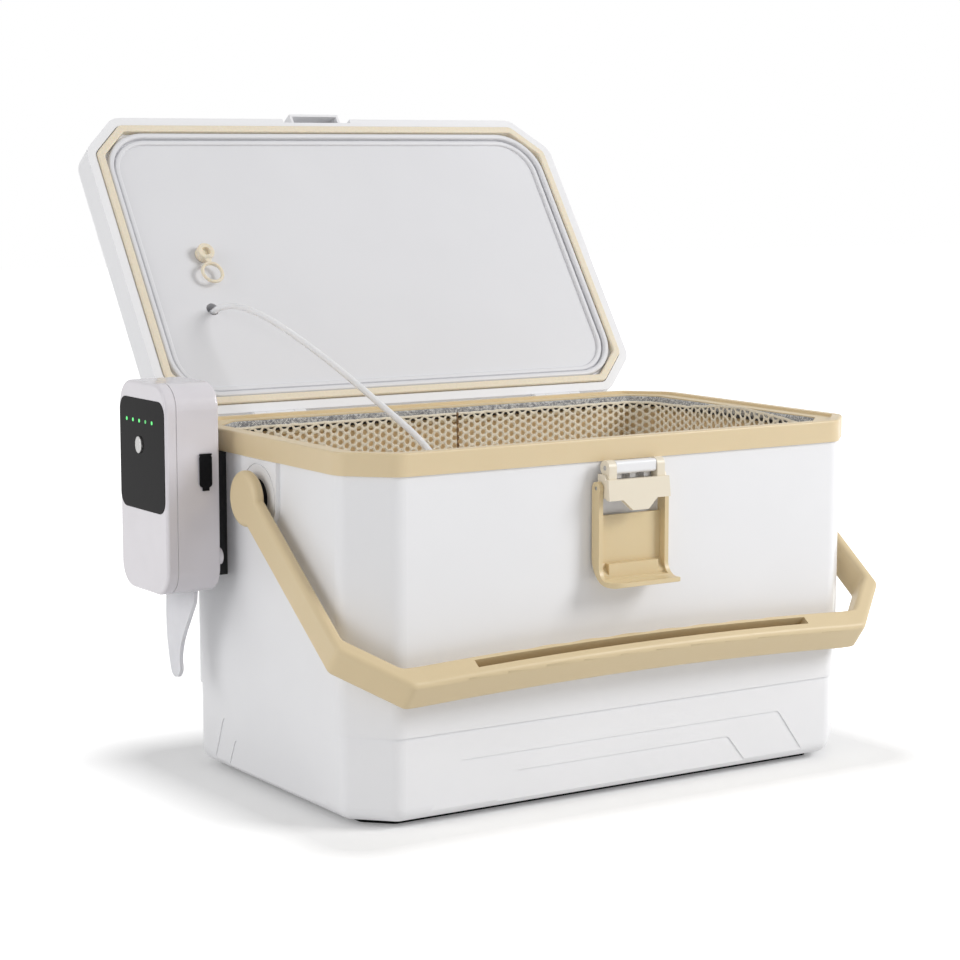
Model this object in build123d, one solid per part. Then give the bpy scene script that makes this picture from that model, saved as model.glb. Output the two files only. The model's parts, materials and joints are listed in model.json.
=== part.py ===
from build123d import *
import math
import os

# Aerated bait bucket, in millimetres, +Z up. X runs along the bucket, -Y is the front,
# the lid hinges at the back (+Y) and the air pump hangs on the -X end. The origin is the
# centre of the base pad's underside. The lid stands open and the handle is lowered.

# ---- Fits ----
GAP = 0.3  # between neighbouring pieces that don't press on each other
RUN = 0.05  # radial clearance of a pin or shaft in its bore
SIDES = (-1, 1)

# ---- Collar and bucket ----
RIM_LENGTH = 360.0
RIM_WIDTH = 224.0
RIM_TOP = 210.0
RIM_HEIGHT = 13.0
RIM_WALL = 2.6
RIM_EDGE_ROUND = 1.2
LAND_WIDTH = 6.0
LAND_THICKNESS = 2.4
LEDGE_DROP = 1.6
LEDGE_THICKNESS = 2.2
HOLE_INSET = 16.0  # from the collar's edge to its opening
HOLE_WALL = 1.6
HOLE_WALL_LIFT = 1.0  # above the collar's lower edge
CORNER_CUT = 25.0
CORNER_BLEND = 13.0
LEAST_BLEND = 5.0
CUT_SHRINK = 2 - math.sqrt(2)  # how much the corner cut shrinks for each mm of inset

PAD_THICKNESS = 3.5
PAD_INSET = 18.0
SHELL_TOP_INSET = 1.2
SHELL_STEP_Z = 52.0
SHELL_STEP = 1.1
SHELL_TAPER = 0.45  # inset gained from the collar down to the step, and again below it
SHELL_WALL = 2.5
SHELL_EDGE_ROUND = 8.5
NECK_WALL = 2.5
NECK_DEPTH = 11.0  # below the collar's lower edge
PANEL_DEPTH = 0.6
PANEL_CORNER = 4.0
PANEL_FOOT = 2.0  # the recesses run out at the rounding round the tub's foot
# Half lengths at foot and top on the long sides, then on the ends, then the height of the top.
HALF = (RIM_LENGTH / 2, RIM_WIDTH / 2)
OUTER_PANEL = ((HALF[0] - 41.9, HALF[0] - 66.0), (HALF[1] - 41.0, HALF[1] - 55.0), 35.0)
INNER_PANEL = ((HALF[0] - 86.0, HALF[0] - 104.0), (HALF[1] - 58.3, HALF[1] - 69.0), 24.0)

LINER_WALL = 2.0
LINER_FLOOR_Z = 16.0
LINER_TAPER = 3.8
FOAM_TOP = 181.0

BAND_WALL = 1.6
BAND_HEIGHT = 7.5
NET_WALL = 1.0
NET_TAPER = 2.2

# ---- Lid, drawn closed ----
LID_LENGTH = RIM_LENGTH - 1.0
LID_WIDTH = RIM_WIDTH - 2.0
LID_SHIFT = -1.0
LID_LIFT = 0.4
LID_HEIGHT = 24.0
LID_EDGE_ROUND = 7.5
LID_WALL = 3.2
LID_LIP = 2.8  # how far the rim's inner lip reaches past the wall
LID_LIP_HEIGHT = 2.5
LID_OPEN = 124.7  # degrees from closed
GASKET_INSET = 6.5
GASKET_WIDTH = 5.0
BEAD_GAP = 0.5
BEAD_WIDTH = 3.8
BEAD_CORNER = 31.0
BEAD_DROP = 0.9  # how far the bead stops above the gasket's lip
BEAD_GROOVE = 0.9  # between the bead and the lower border inside it
BORDER_WIDTH = 3.4
BORDER_HEIGHT = 1.8
LINER_RECESS = 2.8
PANEL_THICKNESS = 2.0
HOSE_HOLE = (56.0 - RIM_LENGTH / 2, 33.0)
HOSE_HOLE_DIAMETER = 8.6
PLUG_PLACE = (61.0 - RIM_LENGTH / 2, -7.0)
PLUG_RADIUS = 6.0
PLUG_HEIGHT = 6.2
PLUG_CUP = 2.6  # radius of the hollow in the plug's head
PLUG_STEM_RADIUS = 3.0
PLUG_STEM = 6.5
PLUG_RING_RADIUS = 6.8
PLUG_RING_WIRE = 1.1
PLUG_RING_REACH = 16.0
STRAP_THICKNESS = 1.8
STRAP_WIDTH = 5.0

# ---- Hinge ----
HINGE_Y = RIM_WIDTH / 2 + 4.0
HINGE_Z = RIM_TOP - 3.0
HINGE_PLACES = (-105.0, 105.0)
KNUCKLE_RADIUS = 3.6
HINGE_PIN_RADIUS = 1.5
LOBE_HALF = 9.7
BRACKET_HALF = 18.0
BRACKET_THICKNESS = 3.5
BRACKET_LOW = 38.0  # from the collar's top to the bracket's foot
SCREW_RADIUS = 1.5
SCREW_HEAD_RADIUS = 3.0
SCREW_HEAD = 1.6
SCREW_BITE = 8.0  # length of the clearance cut either side of the tub's face
HINGE_SCREW_PITCH = 20.0
HINGE_SCREW_DROP = 27.0  # from the collar's top

# ---- Latch ----
LATCH_X = -3.0
BARREL_OUT = 5.5  # from the collar's front to the lever's pivot
BARREL_DROP = 3.4
BARREL_HALF = 14.0
BARREL_HEIGHT = 7.4
BARREL_EDGE_ROUND = 2.0
LATCH_PIN_RADIUS = 1.4
LATCH_PLATE_HALF = 17.0
LATCH_PLATE = 2.0
LATCH_PLATE_LOW = 34.0
EAR_RADIUS = 4.4
EAR_WIDTH = 5.3
LEVER_HALF = 21.5
LEVER_PLATE = 3.2
LEVER_TOP = 6.4  # from the lever's pivot down to its plate
LEVER_TIP = 24.1  # from the lever's pivot down to its tip
LEVER_LEAN = 2.4  # how far the plate's tip stands out past its top
LEVER_TAB = ((12.0, 0.0), (5.5, 6.0))  # half widths of the tip and how far down they are
CHEEK = 3.1
HOOK_PIN_RADIUS = 1.2
HOOK_PIN_BACK = 1.6
HOOK_PIN_DROP = 11.4
HOOK_HALF = 24.6
HOOK_WALL = 2.7
HOOK_HEAD_RADIUS = 3.75
HOOK_DEPTH = 7.2
HOOK_BACK = 2.4
HOOK_SEAT_DROP = 43.7  # from the hook's pin to the face that pulls on the lid's lug
HOOK_WINDOW_DROP = 16.2
HOOK_MOUTH_RADIUS = 8.0
HOOK_LIP = 3.0
HOOK_LIP_REACH = 3.7
HOOK_FLOOR = 4.8
HOOK_CORNER = 17.0
HOOK_FOOT_ROUND = 11.6
CATCH_SIDE_GAP = 4.5
LUG_HALF = 18.8
LUG_WALL = 1.8
RECESS_HALF = 26.0
RECESS_DEPTH = 3.0
RECESS_TOP = 15.6
LATCH_SCREW_HALF = 8.0
LATCH_SCREW_DROP = 10.6
LATCH_SCREW_HEAD = (2.6, 1.4)  # radius and height

# ---- Handle ----
PIVOT_Z = 175.0
HANDLE_THICKNESS = 7.0
HANDLE_WIDTH = 20.0
HANDLE_INSIDE = RIM_LENGTH / 2 + 5.5
HANDLE_REACH = RIM_WIDTH / 2 + 34.4  # from the pivot to the inside of the grip's ends
GRIP_DEPTH = 15.0
GRIP_ARCH = 5.5  # how far the grip's middle rises above its ends
GRIP_ARCH_HALF = RIM_LENGTH / 2 - 30.0
HANDLE_CUT = 25.0
CUT_SECTION = 10.0
DISC_RADIUS = 16.2
HANDLE_REST = 36.5  # degrees below level
SLOT_OFFSET = 3.8
SLOT_WIDTH = 5.4
SLOT_HALF = RIM_LENGTH / 2 - 63.0
SLOT_FLOOR = 4.0
SCALLOP_PITCH = 27.0
SCALLOP_DEPTH = 2.2
SCALLOPS = 7
HANDLE_ROUND = 3.0
HANDLE_BEND = 6.0
PAD_RADIUS = 21.0
PAD_FACE = RIM_LENGTH / 2 + 1.5
GROOVE_RADIUS = 19.5
GROOVE = 0.7
STUD_RADIUS = 6.0
STUD_ENGAGEMENT = 5.0
WASHER_RADIUS = 11.0

# ---- Air pump ----
PUMP_INSIDE = -RIM_LENGTH / 2 - 10.7
PUMP_OUTSIDE = PUMP_INSIDE - 34.3
PUMP_SEAM = PUMP_INSIDE - 27.4
SEAM_GAP = 0.6
PUMP_Y = 61.0
PUMP_WIDTH = 62.0
PUMP_LOW = 116.0
PUMP_HEIGHT = 123.0
PUMP_CORNER = 15.0
PUMP_EDGE_ROUND = 1.8
PUMP_WALL = 2.0
FACE_Z = 196.5
FACE_HEIGHT = 65.0
FACE_WIDTH = 59.0
FACE_CORNER = 8.0
FACE_THICKNESS = 0.8
FACE_PROUD = 0.3
LED_RADIUS = 1.1
LED_PITCH = 8.4
LEDS = 5
LED_Z = 216.0
LED_Y = 64.0
BUTTON_Y = 64.0
BUTTON_Z = 202.0
BUTTON_WIDTH = 7.5
BUTTON_HEIGHT = 10.0
BUTTON_PROUD = 1.6
BUTTON_TRAVEL = 1.2
BOARD_LEVEL = PUMP_INSIDE - 23.7
BOARD_THICKNESS = 1.6
BOARD_LOW = 52.0  # from the case's foot
CELL_RADIUS = 9.2
CELL_LOW = 49.0  # from the case's foot
CELL_LENGTH = PUMP_HEIGHT - 58.0
MOTOR_WIDTH = 20.0
MOTOR_DEPTH = 15.0
MOTOR_HEIGHT = 25.0
CRANK_OFFSET = 1.5
NOZZLE_X = PUMP_INSIDE - 6.3
NOZZLE_Z = 196.0
NOZZLE_LENGTH = 12.0
BOSS_INSET = 7.5
BOSS_RADIUS = 3.5
PORT_X = PUMP_INSIDE - 9.5
PORT_Z = 189.0
PORT_WIDTH = 7.6
PORT_HEIGHT = 20.0
PORT_COVER = 1.2
CLIP_HALF = 18.8
CLIP_Z = 130.0
CLIP_X = PUMP_INSIDE - 9.3
# Offset from the pump's middle and drop from the pin, down the front edge and up the back one.
CLIP_OUTLINE = [
    (-18.0, 20.5), (-14.0, 27.5), (-9.6, 35.0), (-5.3, 43.0), (-2.6, 51.5), (-2.5, 58.0), (-3.4, 63.5),
    (0.8, 68.0), (6.9, 66.5), (10.2, 61.0), (15.0, 48.0), (17.6, 35.0), (18.6, 22.0),
]
CLIP_LEAN = 3.2  # degrees
CLIP_THICKNESS = 2.4
CLIP_BARREL = 3.0
CLIP_PIN_RADIUS = 1.2
POCKET_HALF = 20.5
POCKET_TOP = 140.0
POCKET_FRONT = PUMP_INSIDE - 13.9
BRACKET_HALF_WIDTH = 16.0
BRACKET_Z = 124.0
BRACKET_TOP = 220.0
BRACKET_UPSTAND = 11.0
BRACKET_WALL = 3.0
BRACKET_SCREW_HALF = 9.0
NUB_RADIUS = 5.0
NUB_PROUD = 2.2
NUB_Z = 137.0

# ---- Air line ----
HOSE_DIAMETER = 4.0
BEND_SHARE = 0.45
STONE_RADIUS = 8.0
STONE_LENGTH = 27.0
STONE_NIPPLE = 5.0
HOSE_ROUTE = [
    (-197, 104, 196), (-197, 126, 196), (-191, 149, 198), (-180, 173, 203), (-170, 196, 210),
    (-156, 213, 220), (-141, 220, 230.5), (-129.5, 214, 240.5), (-124.3, 198, 251), (-124, 168, 271.8),
    (-119.5, 144, 276), (-110.5, 121, 269), (-101, 100, 257.5), (-93.5, 79, 246), (-87.5, 55, 233.5),
    (-80.5, 29, 218.5), (-71, -1, 200), (-63, -23, 175), (-58.5, -36, 147), (-58, -40, 116),
    (-60, -38, 86), (-61, -31, 60), (-56, -20, 38), (-38, -10, 25.8), (-18, -10, 25.8),
]


# ---- Shared shapes ----
def box(x, y, z):
    """Block between two levels on each axis."""
    size = Box(x[1] - x[0], y[1] - y[0], z[1] - z[0])
    return Pos(sum(x) / 2, sum(y) / 2, sum(z) / 2) * size


def rod_x(radius, x, y, z):
    """Round bar along X, between the two levels in x."""
    return Pos(sum(x) / 2, y, z) * Rot(0, 90, 0) * Cylinder(radius, x[1] - x[0])


def rod_y(radius, x, y, z):
    """Round bar along Y, between the two levels in y."""
    return Pos(x, sum(y) / 2, z) * Rot(90, 0, 0) * Cylinder(radius, y[1] - y[0])


def rod_z(radius, x, y, z):
    """Round bar along Z, between the two levels in z."""
    return Pos(x, y, sum(z) / 2) * Cylinder(radius, z[1] - z[0])


def polygon(*points):
    """Flat face through the points."""
    return make_face(Polyline(*points, close=True))


def across_x(face, x, y=0.0, z=0.0):
    """Solid from a face drawn in Y and Z, between the two levels in x."""
    plane = Plane((x[0], y, z), x_dir=(0, 1, 0), z_dir=(1, 0, 0))
    return extrude(plane * face, x[1] - x[0], dir=(1, 0, 0))


def across_y(face, y, x=0.0, z=0.0):
    """Solid from a face drawn in X and Z, between the two levels in y."""
    plane = Plane((x, y[1], z), x_dir=(1, 0, 0), z_dir=(0, -1, 0))
    return extrude(plane * face, y[1] - y[0], dir=(0, -1, 0))


def mirrored(shape):
    """The shape and its copy on the other end of the bucket."""
    return [shape, mirror(shape, Plane.YZ)]


def on_both_ends(make):
    """Join what make builds at the +X end with its mirror image."""
    return make + mirror(make, Plane.YZ)


def cut_outline(half_x, half_y, inset, z, centre_y):
    """Rectangle with blended 45 degree corners, inset evenly from its full size."""
    x = half_x - inset
    y = half_y - inset
    cut = CORNER_CUT - CUT_SHRINK * inset
    points = []
    for side_x, side_y in ((1, 1), (-1, 1), (-1, -1), (1, -1)):
        corner = [(side_x * x, side_y * (y - cut)), (side_x * (x - cut), side_y * y)]
        if side_x * side_y < 0:
            corner.reverse()
        points += corner
    face = polygon(*points)
    blend = max(CORNER_BLEND - inset, LEAST_BLEND)
    return Pos(0, centre_y, z) * fillet(face.vertices(), blend)


def rim(inset, z):
    """The collar's outline at an inset and a height."""
    return cut_outline(RIM_LENGTH / 2, RIM_WIDTH / 2, inset, z, 0)


def lid(inset, z):
    """The closed lid's outline at an inset and a height."""
    return cut_outline(LID_LENGTH / 2, LID_WIDTH / 2, inset, z, LID_SHIFT)


def slab(outline, inset, z):
    """Plate with straight sides between the two levels in z."""
    return extrude(outline(inset, z[0]), z[1] - z[0], dir=(0, 0, 1))


def ring(outline, outer, inner, z):
    """Upright wall between two insets."""
    return slab(outline, outer, z) - slab(outline, inner, (z[0] - 1, z[1] + 1))


def taper(low, high):
    """Block with the collar's outline and evenly sloping sides, between (inset, height) pairs."""
    slope = (high[0] - low[0]) / (high[1] - low[1])
    block = box((-RIM_LENGTH, RIM_LENGTH), (-RIM_LENGTH, RIM_LENGTH), (low[1], high[1]))
    end = RIM_LENGTH / 2
    side = RIM_WIDTH / 2
    corner = (end + side - CORNER_CUT) * math.sqrt(0.5)
    for step, reach in enumerate((end, corner, side, corner) * 2):
        turn = math.radians(45 * step)
        across = Vector(math.cos(turn), math.sin(turn), 0)
        foot = across * (reach - low[0]) + Vector(0, 0, low[1])
        face = Plane(origin=foot, z_dir=across + Vector(0, 0, slope))
        block = split(block, bisect_by=face, keep=Keep.BOTTOM)
    upright = block.edges().filter_by(lambda edge: abs((edge % 0.5).Z) > 0.5)
    return fillet(upright, max(CORNER_BLEND - (low[0] + high[0]) / 2, LEAST_BLEND))


# ---- Levels worked out from the driving sizes ----
RIM_BOTTOM = RIM_TOP - RIM_HEIGHT
LEDGE_TOP = RIM_TOP - LEDGE_DROP
LEDGE_UNDER = LEDGE_TOP - LEDGE_THICKNESS
LAND_UNDER = RIM_TOP - LAND_THICKNESS
FRONT = -RIM_WIDTH / 2
STEP_INSET_HIGH = SHELL_TOP_INSET + SHELL_TAPER
STEP_INSET_LOW = STEP_INSET_HIGH + SHELL_STEP
SHELL_FOOT_INSET = STEP_INSET_LOW + SHELL_TAPER
SHELL_FLOOR = PAD_THICKNESS + SHELL_WALL
LINER_TOP = LEDGE_UNDER - GAP
LINER_TOP_INSET = HOLE_INSET - HOLE_WALL - GAP - LINER_WALL
LINER_FLOOR_INSET = LINER_TOP_INSET + LINER_TAPER
BAND_TOP = LEDGE_TOP - 0.4
BAND_LOW = BAND_TOP - BAND_HEIGHT
LID_BOTTOM = RIM_TOP + LID_LIFT
LID_TOP = LID_BOTTOM + LID_HEIGHT
LID_FRONT = LID_SHIFT - LID_WIDTH / 2
LID_BACK = LID_SHIFT + LID_WIDTH / 2
GASKET_LOW = LEDGE_TOP + GAP
LINER_SEAT = LID_BOTTOM + LINER_RECESS
BEAD_INSET = GASKET_INSET + GASKET_WIDTH + BEAD_GAP
BARREL_Y = FRONT - BARREL_OUT
BARREL_Z = RIM_BOTTOM - BARREL_DROP
HOOK_PIN_Y = BARREL_Y + HOOK_PIN_BACK
HOOK_PIN_Z = BARREL_Z - HOOK_PIN_DROP
PUMP_Z = PUMP_LOW + PUMP_HEIGHT / 2
PUMP_FRONT_Y = PUMP_Y - PUMP_WIDTH / 2
PUMP_BACK_Y = PUMP_Y + PUMP_WIDTH / 2
SCREW_TIP = 0.9 - SHELL_TOP_INSET - SHELL_WALL  # screws end inside the tub's wall
HINGE_AXIS = Axis((0, HINGE_Y, HINGE_Z), (1, 0, 0))


def shell_inset(z):
    """Inset of the tub's outer face above the step."""
    return SHELL_TOP_INSET + SHELL_TAPER * (RIM_BOTTOM - z) / (RIM_BOTTOM - SHELL_STEP_Z)


def shell_block(proud):
    """The tub's outer shape, grown evenly by proud."""
    low = taper((SHELL_FOOT_INSET - proud, PAD_THICKNESS), (STEP_INSET_LOW - proud, SHELL_STEP_Z))
    high = taper((STEP_INSET_HIGH - proud, SHELL_STEP_Z), (SHELL_TOP_INSET - proud, RIM_BOTTOM))
    return low, high


def panel_face(half, top):
    """Recess's outline, narrower at its top than at its foot."""
    face = polygon((-half[0], PANEL_FOOT), (half[0], PANEL_FOOT), (half[1], top), (-half[1], top))
    return fillet(face.vertices(), PANEL_CORNER)


def panel_prisms(long_half, short_half, top):
    """Short prisms across the four sides of the tub, in the shape of its recesses."""
    depth = 10.0
    for side in SIDES:
        y = sorted((side * RIM_WIDTH / 2, side * (RIM_WIDTH / 2 - depth)))
        yield across_y(panel_face(long_half, top), y)
        x = sorted((side * RIM_LENGTH / 2, side * (RIM_LENGTH / 2 - depth)))
        yield across_x(panel_face(short_half, top), x)


# ---- Bucket ----
def make_rim_collar():
    """Collar with an outer wall, a top land, a lower ledge and a wall round the opening."""
    collar = slab(rim, 0, (RIM_BOTTOM, RIM_TOP))
    top_edge = collar.faces().sort_by(Axis.Z)[-1].edges()
    collar = fillet(top_edge, RIM_EDGE_ROUND)
    collar -= slab(rim, HOLE_INSET, (RIM_BOTTOM - 1, RIM_TOP + 1))
    collar -= slab(rim, LAND_WIDTH, (LEDGE_TOP, RIM_TOP + 1))
    collar -= ring(rim, RIM_WALL, HOLE_INSET - HOLE_WALL, (RIM_BOTTOM - 1, LEDGE_UNDER))
    collar -= ring(rim, RIM_WALL, LAND_WIDTH, (RIM_BOTTOM - 1, LAND_UNDER))
    return collar - slab(rim, LAND_WIDTH, (RIM_BOTTOM - 1, RIM_BOTTOM + HOLE_WALL_LIFT))


def make_pivot_pads():
    """Raised pads that carry the handle, each with a ring groove, at both ends."""
    face = Circle(PAD_RADIUS) + Pos(0, (RIM_BOTTOM - PIVOT_Z) / 2) * Rectangle(
        2 * PAD_RADIUS, RIM_BOTTOM - PIVOT_Z)
    inside = RIM_LENGTH / 2 - SHELL_TOP_INSET - SHELL_WALL - SHELL_TAPER
    pad = across_x(face, (inside, PAD_FACE), 0, PIVOT_Z)
    groove = Circle(GROOVE_RADIUS + GROOVE / 2) - Circle(GROOVE_RADIUS - GROOVE / 2)
    pad -= across_x(groove, (PAD_FACE - GROOVE, PAD_FACE + 1), 0, PIVOT_Z)
    return on_both_ends(pad)


def screw_cuts():
    """Clearance round every screw that goes into the tub's wall."""
    cuts = []
    for x, z in hinge_screw_places():
        cuts.append(rod_y(SCREW_RADIUS + RUN, x, (-FRONT - SCREW_BITE, -FRONT + SCREW_BITE), z))
    for x in latch_screw_places():
        cuts.append(rod_y(SCREW_RADIUS + RUN, x, (FRONT - SCREW_BITE, FRONT + SCREW_BITE), latch_screw_z()))
    for y, z in bracket_screw_places():
        end = -RIM_LENGTH / 2
        cuts.append(rod_x(SCREW_RADIUS + RUN, (end - SCREW_BITE, end + SCREW_BITE), y, z))
    return cuts


def make_bucket_shell():
    """White outer tub with a stepped side, shallow recesses, handle pads and a neck in the collar."""
    low, high = shell_block(0)
    foot_edges = low.faces().sort_by(Axis.Z)[0].edges()
    shell = fillet(foot_edges, SHELL_EDGE_ROUND) + high
    for count, sizes in enumerate((OUTER_PANEL, INNER_PANEL), start=1):
        kept, _ = shell_block(-count * PANEL_DEPTH)
        for prism in panel_prisms(*sizes):
            shell -= prism - kept
    shell += make_pivot_pads()
    foot = (SHELL_FOOT_INSET + SHELL_WALL, SHELL_FLOOR)
    shell -= taper(foot, (SHELL_TOP_INSET + SHELL_WALL, RIM_BOTTOM + 1))
    neck_inset = RIM_WALL + GAP
    shell += ring(rim, neck_inset, neck_inset + NECK_WALL, (RIM_BOTTOM - NECK_DEPTH, LAND_UNDER - GAP))
    stud_bore = rod_x(STUD_RADIUS + RUN, (RIM_LENGTH / 2 - 12, PAD_FACE + 1), 0, PIVOT_Z)
    return shell - on_both_ends(stud_bore) - screw_cuts()


def liner_block(grow):
    """Outer shape of the inner tub, grown evenly."""
    low = (LINER_FLOOR_INSET - LINER_WALL - grow, LINER_FLOOR_Z - LINER_WALL - grow)
    return taper(low, (LINER_TOP_INSET - grow, LINER_TOP))


def make_bucket_liner():
    """Beige inner tub."""
    low = (LINER_FLOOR_INSET, LINER_FLOOR_Z)
    return liner_block(0) - taper(low, (LINER_TOP_INSET + LINER_WALL, LINER_TOP + 0.1))


def make_foam_insulation():
    """Foam between the two tubs."""
    low = (SHELL_FOOT_INSET + SHELL_WALL + GAP, SHELL_FLOOR + RUN)
    foam = taper(low, (SHELL_TOP_INSET + SHELL_WALL + GAP, FOAM_TOP))
    studs = rod_x(STUD_RADIUS + GAP, (RIM_LENGTH / 2 - 12, RIM_LENGTH / 2), 0, PIVOT_Z)
    pads = across_x(
        Circle(PAD_RADIUS + GAP) + Pos(0, PAD_RADIUS) * Rectangle(2 * PAD_RADIUS + 2 * GAP, 2 * PAD_RADIUS),
        (RIM_LENGTH / 2 - SHELL_TOP_INSET - SHELL_WALL - SHELL_TAPER - GAP, RIM_LENGTH / 2), 0, PIVOT_Z)
    return foam - liner_block(0.2) - on_both_ends(studs + pads)


def make_net_band():
    """Knitted band that holds the net in the collar's opening."""
    outer = HOLE_INSET + 0.2
    return ring(rim, outer, outer + BAND_WALL, (BAND_LOW, BAND_TOP))


def make_net_bag():
    """Open-topped net bag, as a thin closed wall and floor."""
    outer = HOLE_INSET + 0.4
    floor = LINER_FLOOR_Z + 0.4
    bag = taper((outer + NET_TAPER, floor), (outer, BAND_LOW - 0.1))
    inner = taper((outer + NET_TAPER + NET_WALL, floor + NET_WALL), (outer + NET_WALL, BAND_LOW))
    return bag - inner


# ---- Rear hinge ----
def hinge_screw_places():
    """X and Z of the hinge screws."""
    reach = HINGE_SCREW_PITCH / 2
    return [(centre + reach * side, RIM_TOP - HINGE_SCREW_DROP) for centre in HINGE_PLACES for side in SIDES]


def make_hinge_brackets():
    """Two plates on the tub's back, each with two knuckles above the collar's lower edge."""
    inner = -FRONT - shell_inset(RIM_TOP - BRACKET_LOW) + GAP + SHELL_TAPER
    outer = inner + BRACKET_THICKNESS
    brackets = []
    for centre in HINGE_PLACES:
        wide = (centre - BRACKET_HALF, centre + BRACKET_HALF)
        bracket = box(wide, (inner, outer), (RIM_TOP - BRACKET_LOW, RIM_BOTTOM - 0.5))
        bracket += box(wide, (-FRONT + GAP, outer), (RIM_BOTTOM - 1, HINGE_Z - 4.5))
        for side in SIDES:
            ends = sorted((centre + side * (LOBE_HALF + GAP), centre + side * BRACKET_HALF))
            bracket += rod_x(KNUCKLE_RADIUS, ends, HINGE_Y, HINGE_Z)
            bracket += box(ends, (-FRONT + GAP, HINGE_Y), (HINGE_Z - 7, HINGE_Z))
        bracket -= rod_x(HINGE_PIN_RADIUS + RUN, (wide[0] - 1, wide[1] + 1), HINGE_Y, HINGE_Z)
        for x, z in hinge_screw_places():
            bracket -= rod_y(SCREW_RADIUS + RUN, x, (inner - 1, outer + 1), z)
        brackets.append(bracket)
    return brackets


def make_hinge_pins():
    """One pin through each hinge."""
    reach = BRACKET_HALF + 0.5
    return [rod_x(HINGE_PIN_RADIUS, (x - reach, x + reach), HINGE_Y, HINGE_Z) for x in HINGE_PLACES]


def make_hinge_screws():
    """Round-headed screws through the hinge brackets into the tub's wall."""
    seat = -FRONT - shell_inset(RIM_TOP - BRACKET_LOW) + GAP + SHELL_TAPER + BRACKET_THICKNESS
    screws = []
    for x, z in hinge_screw_places():
        screw = rod_y(SCREW_RADIUS, x, (SCREW_TIP - FRONT, seat), z)
        screws.append(screw + rod_y(SCREW_HEAD_RADIUS, x, (seat, seat + SCREW_HEAD), z))
    return screws


def lid_lobes():
    """The lid's hinge arms, with bores for the pins, drawn closed."""
    edge = HINGE_Y - KNUCKLE_RADIUS
    arm = polygon(
        (edge + 0.1, HINGE_Z - 1), (HINGE_Y + KNUCKLE_RADIUS - 0.2, HINGE_Z - 1),
        (HINGE_Y + 1, LID_BOTTOM + 5.6), (LID_BACK - 1, LID_TOP - 6.4), (LID_BACK - 1, LID_BOTTOM + 0.8),
        (edge + 0.1, LID_BOTTOM + 0.8))
    profile = arm + Pos(HINGE_Y, HINGE_Z) * Circle(KNUCKLE_RADIUS)
    lobes = None
    for centre in HINGE_PLACES:
        lobe = across_x(profile, (centre - LOBE_HALF, centre + LOBE_HALF))
        lobe -= rod_x(HINGE_PIN_RADIUS + RUN, (centre - 20, centre + 20), HINGE_Y, HINGE_Z)
        lobes = lobe if lobes is None else lobes + lobe
    return lobes


# ---- Lid ----
def opened(shape):
    """Turn a piece that is drawn on the closed lid to the open position."""
    return shape.rotate(HINGE_AXIS, -LID_OPEN)


def latch_wall(grow):
    """Block behind the latch recess in the lid's front wall."""
    half = RECESS_HALF + LID_WALL
    front = LID_FRONT + RECESS_DEPTH
    return box(
        (LATCH_X - half - grow, LATCH_X + half + grow), (front - 1, front + LID_WALL + grow),
        (LID_BOTTOM, LID_BOTTOM + RECESS_TOP + LID_WALL - 0.3 + grow))


def lug():
    """Hollow lug that the hook pulls on, open underneath."""
    front = HOOK_PIN_Y * 2 - (FRONT - 0.1) + HOOK_BACK + 0.4
    top = HOOK_PIN_Z + HOOK_SEAT_DROP - GAP
    wide = (LATCH_X - LUG_HALF, LATCH_X + LUG_HALF)
    block = box(wide, (front, LID_FRONT + RECESS_DEPTH + 0.5), (LID_BOTTOM + 1.6, top))
    pocket = box(
        (wide[0] + LUG_WALL, wide[1] - LUG_WALL), (front + LUG_WALL, LID_FRONT + RECESS_DEPTH - 0.1),
        (LID_BOTTOM, top - LUG_WALL))
    return block - pocket


def hose_bore(extra=0.0):
    """The hose's hole through the lid."""
    x, y = HOSE_HOLE
    return rod_z(HOSE_HOLE_DIAMETER / 2 + extra, x, y, (LID_BOTTOM - 5, LID_TOP + 5))


def make_lid_shell():
    """White lid cover with hinge arms, latch recess and lug."""
    cover = slab(lid, 0, (LID_BOTTOM, LID_TOP))
    cover = fillet(cover.faces().sort_by(Axis.Z)[-1].edges(), LID_EDGE_ROUND)
    cover -= slab(lid, LID_WALL, (LID_BOTTOM + LID_LIP_HEIGHT, LID_TOP - LID_WALL))
    cover -= slab(lid, LID_WALL + LID_LIP, (LID_BOTTOM - 1, LID_BOTTOM + LID_LIP_HEIGHT + 1))
    cover += latch_wall(0)
    cover -= box(
        (LATCH_X - RECESS_HALF, LATCH_X + RECESS_HALF), (LID_FRONT - 1, LID_FRONT + RECESS_DEPTH),
        (LID_BOTTOM - 1, LID_BOTTOM + RECESS_TOP))
    return opened(cover + lug() + lid_lobes() - hose_bore())


def make_lid_foam():
    """Foam core of the lid."""
    inset = LID_WALL + GAP
    foam = slab(lid, inset, (LINER_SEAT + PANEL_THICKNESS + RUN, LID_TOP - LID_WALL - RUN))
    x, y = PLUG_PLACE
    stem = rod_z(PLUG_STEM_RADIUS + 1.5, x, y, (LINER_SEAT, LINER_SEAT + PLUG_STEM + 2))
    return opened(foam - latch_wall(GAP) - hose_bore(1.6) - stem)


def rounded_border(inset, width, low, soft):
    """Border with round corners under the lid's panel, softened along its lower edges."""
    high = LINER_SEAT + 0.5
    long = LID_LENGTH - 2 * inset
    wide = LID_WIDTH - 2 * inset
    corner = BEAD_CORNER - (inset - BEAD_INSET)
    face = RectangleRounded(long, wide, corner)
    face -= RectangleRounded(long - 2 * width, wide - 2 * width, corner - width)
    border = extrude(Pos(0, LID_SHIFT, low) * face, high - low, dir=(0, 0, 1))
    return fillet(border.faces().sort_by(Axis.Z)[0].edges(), soft)


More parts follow.
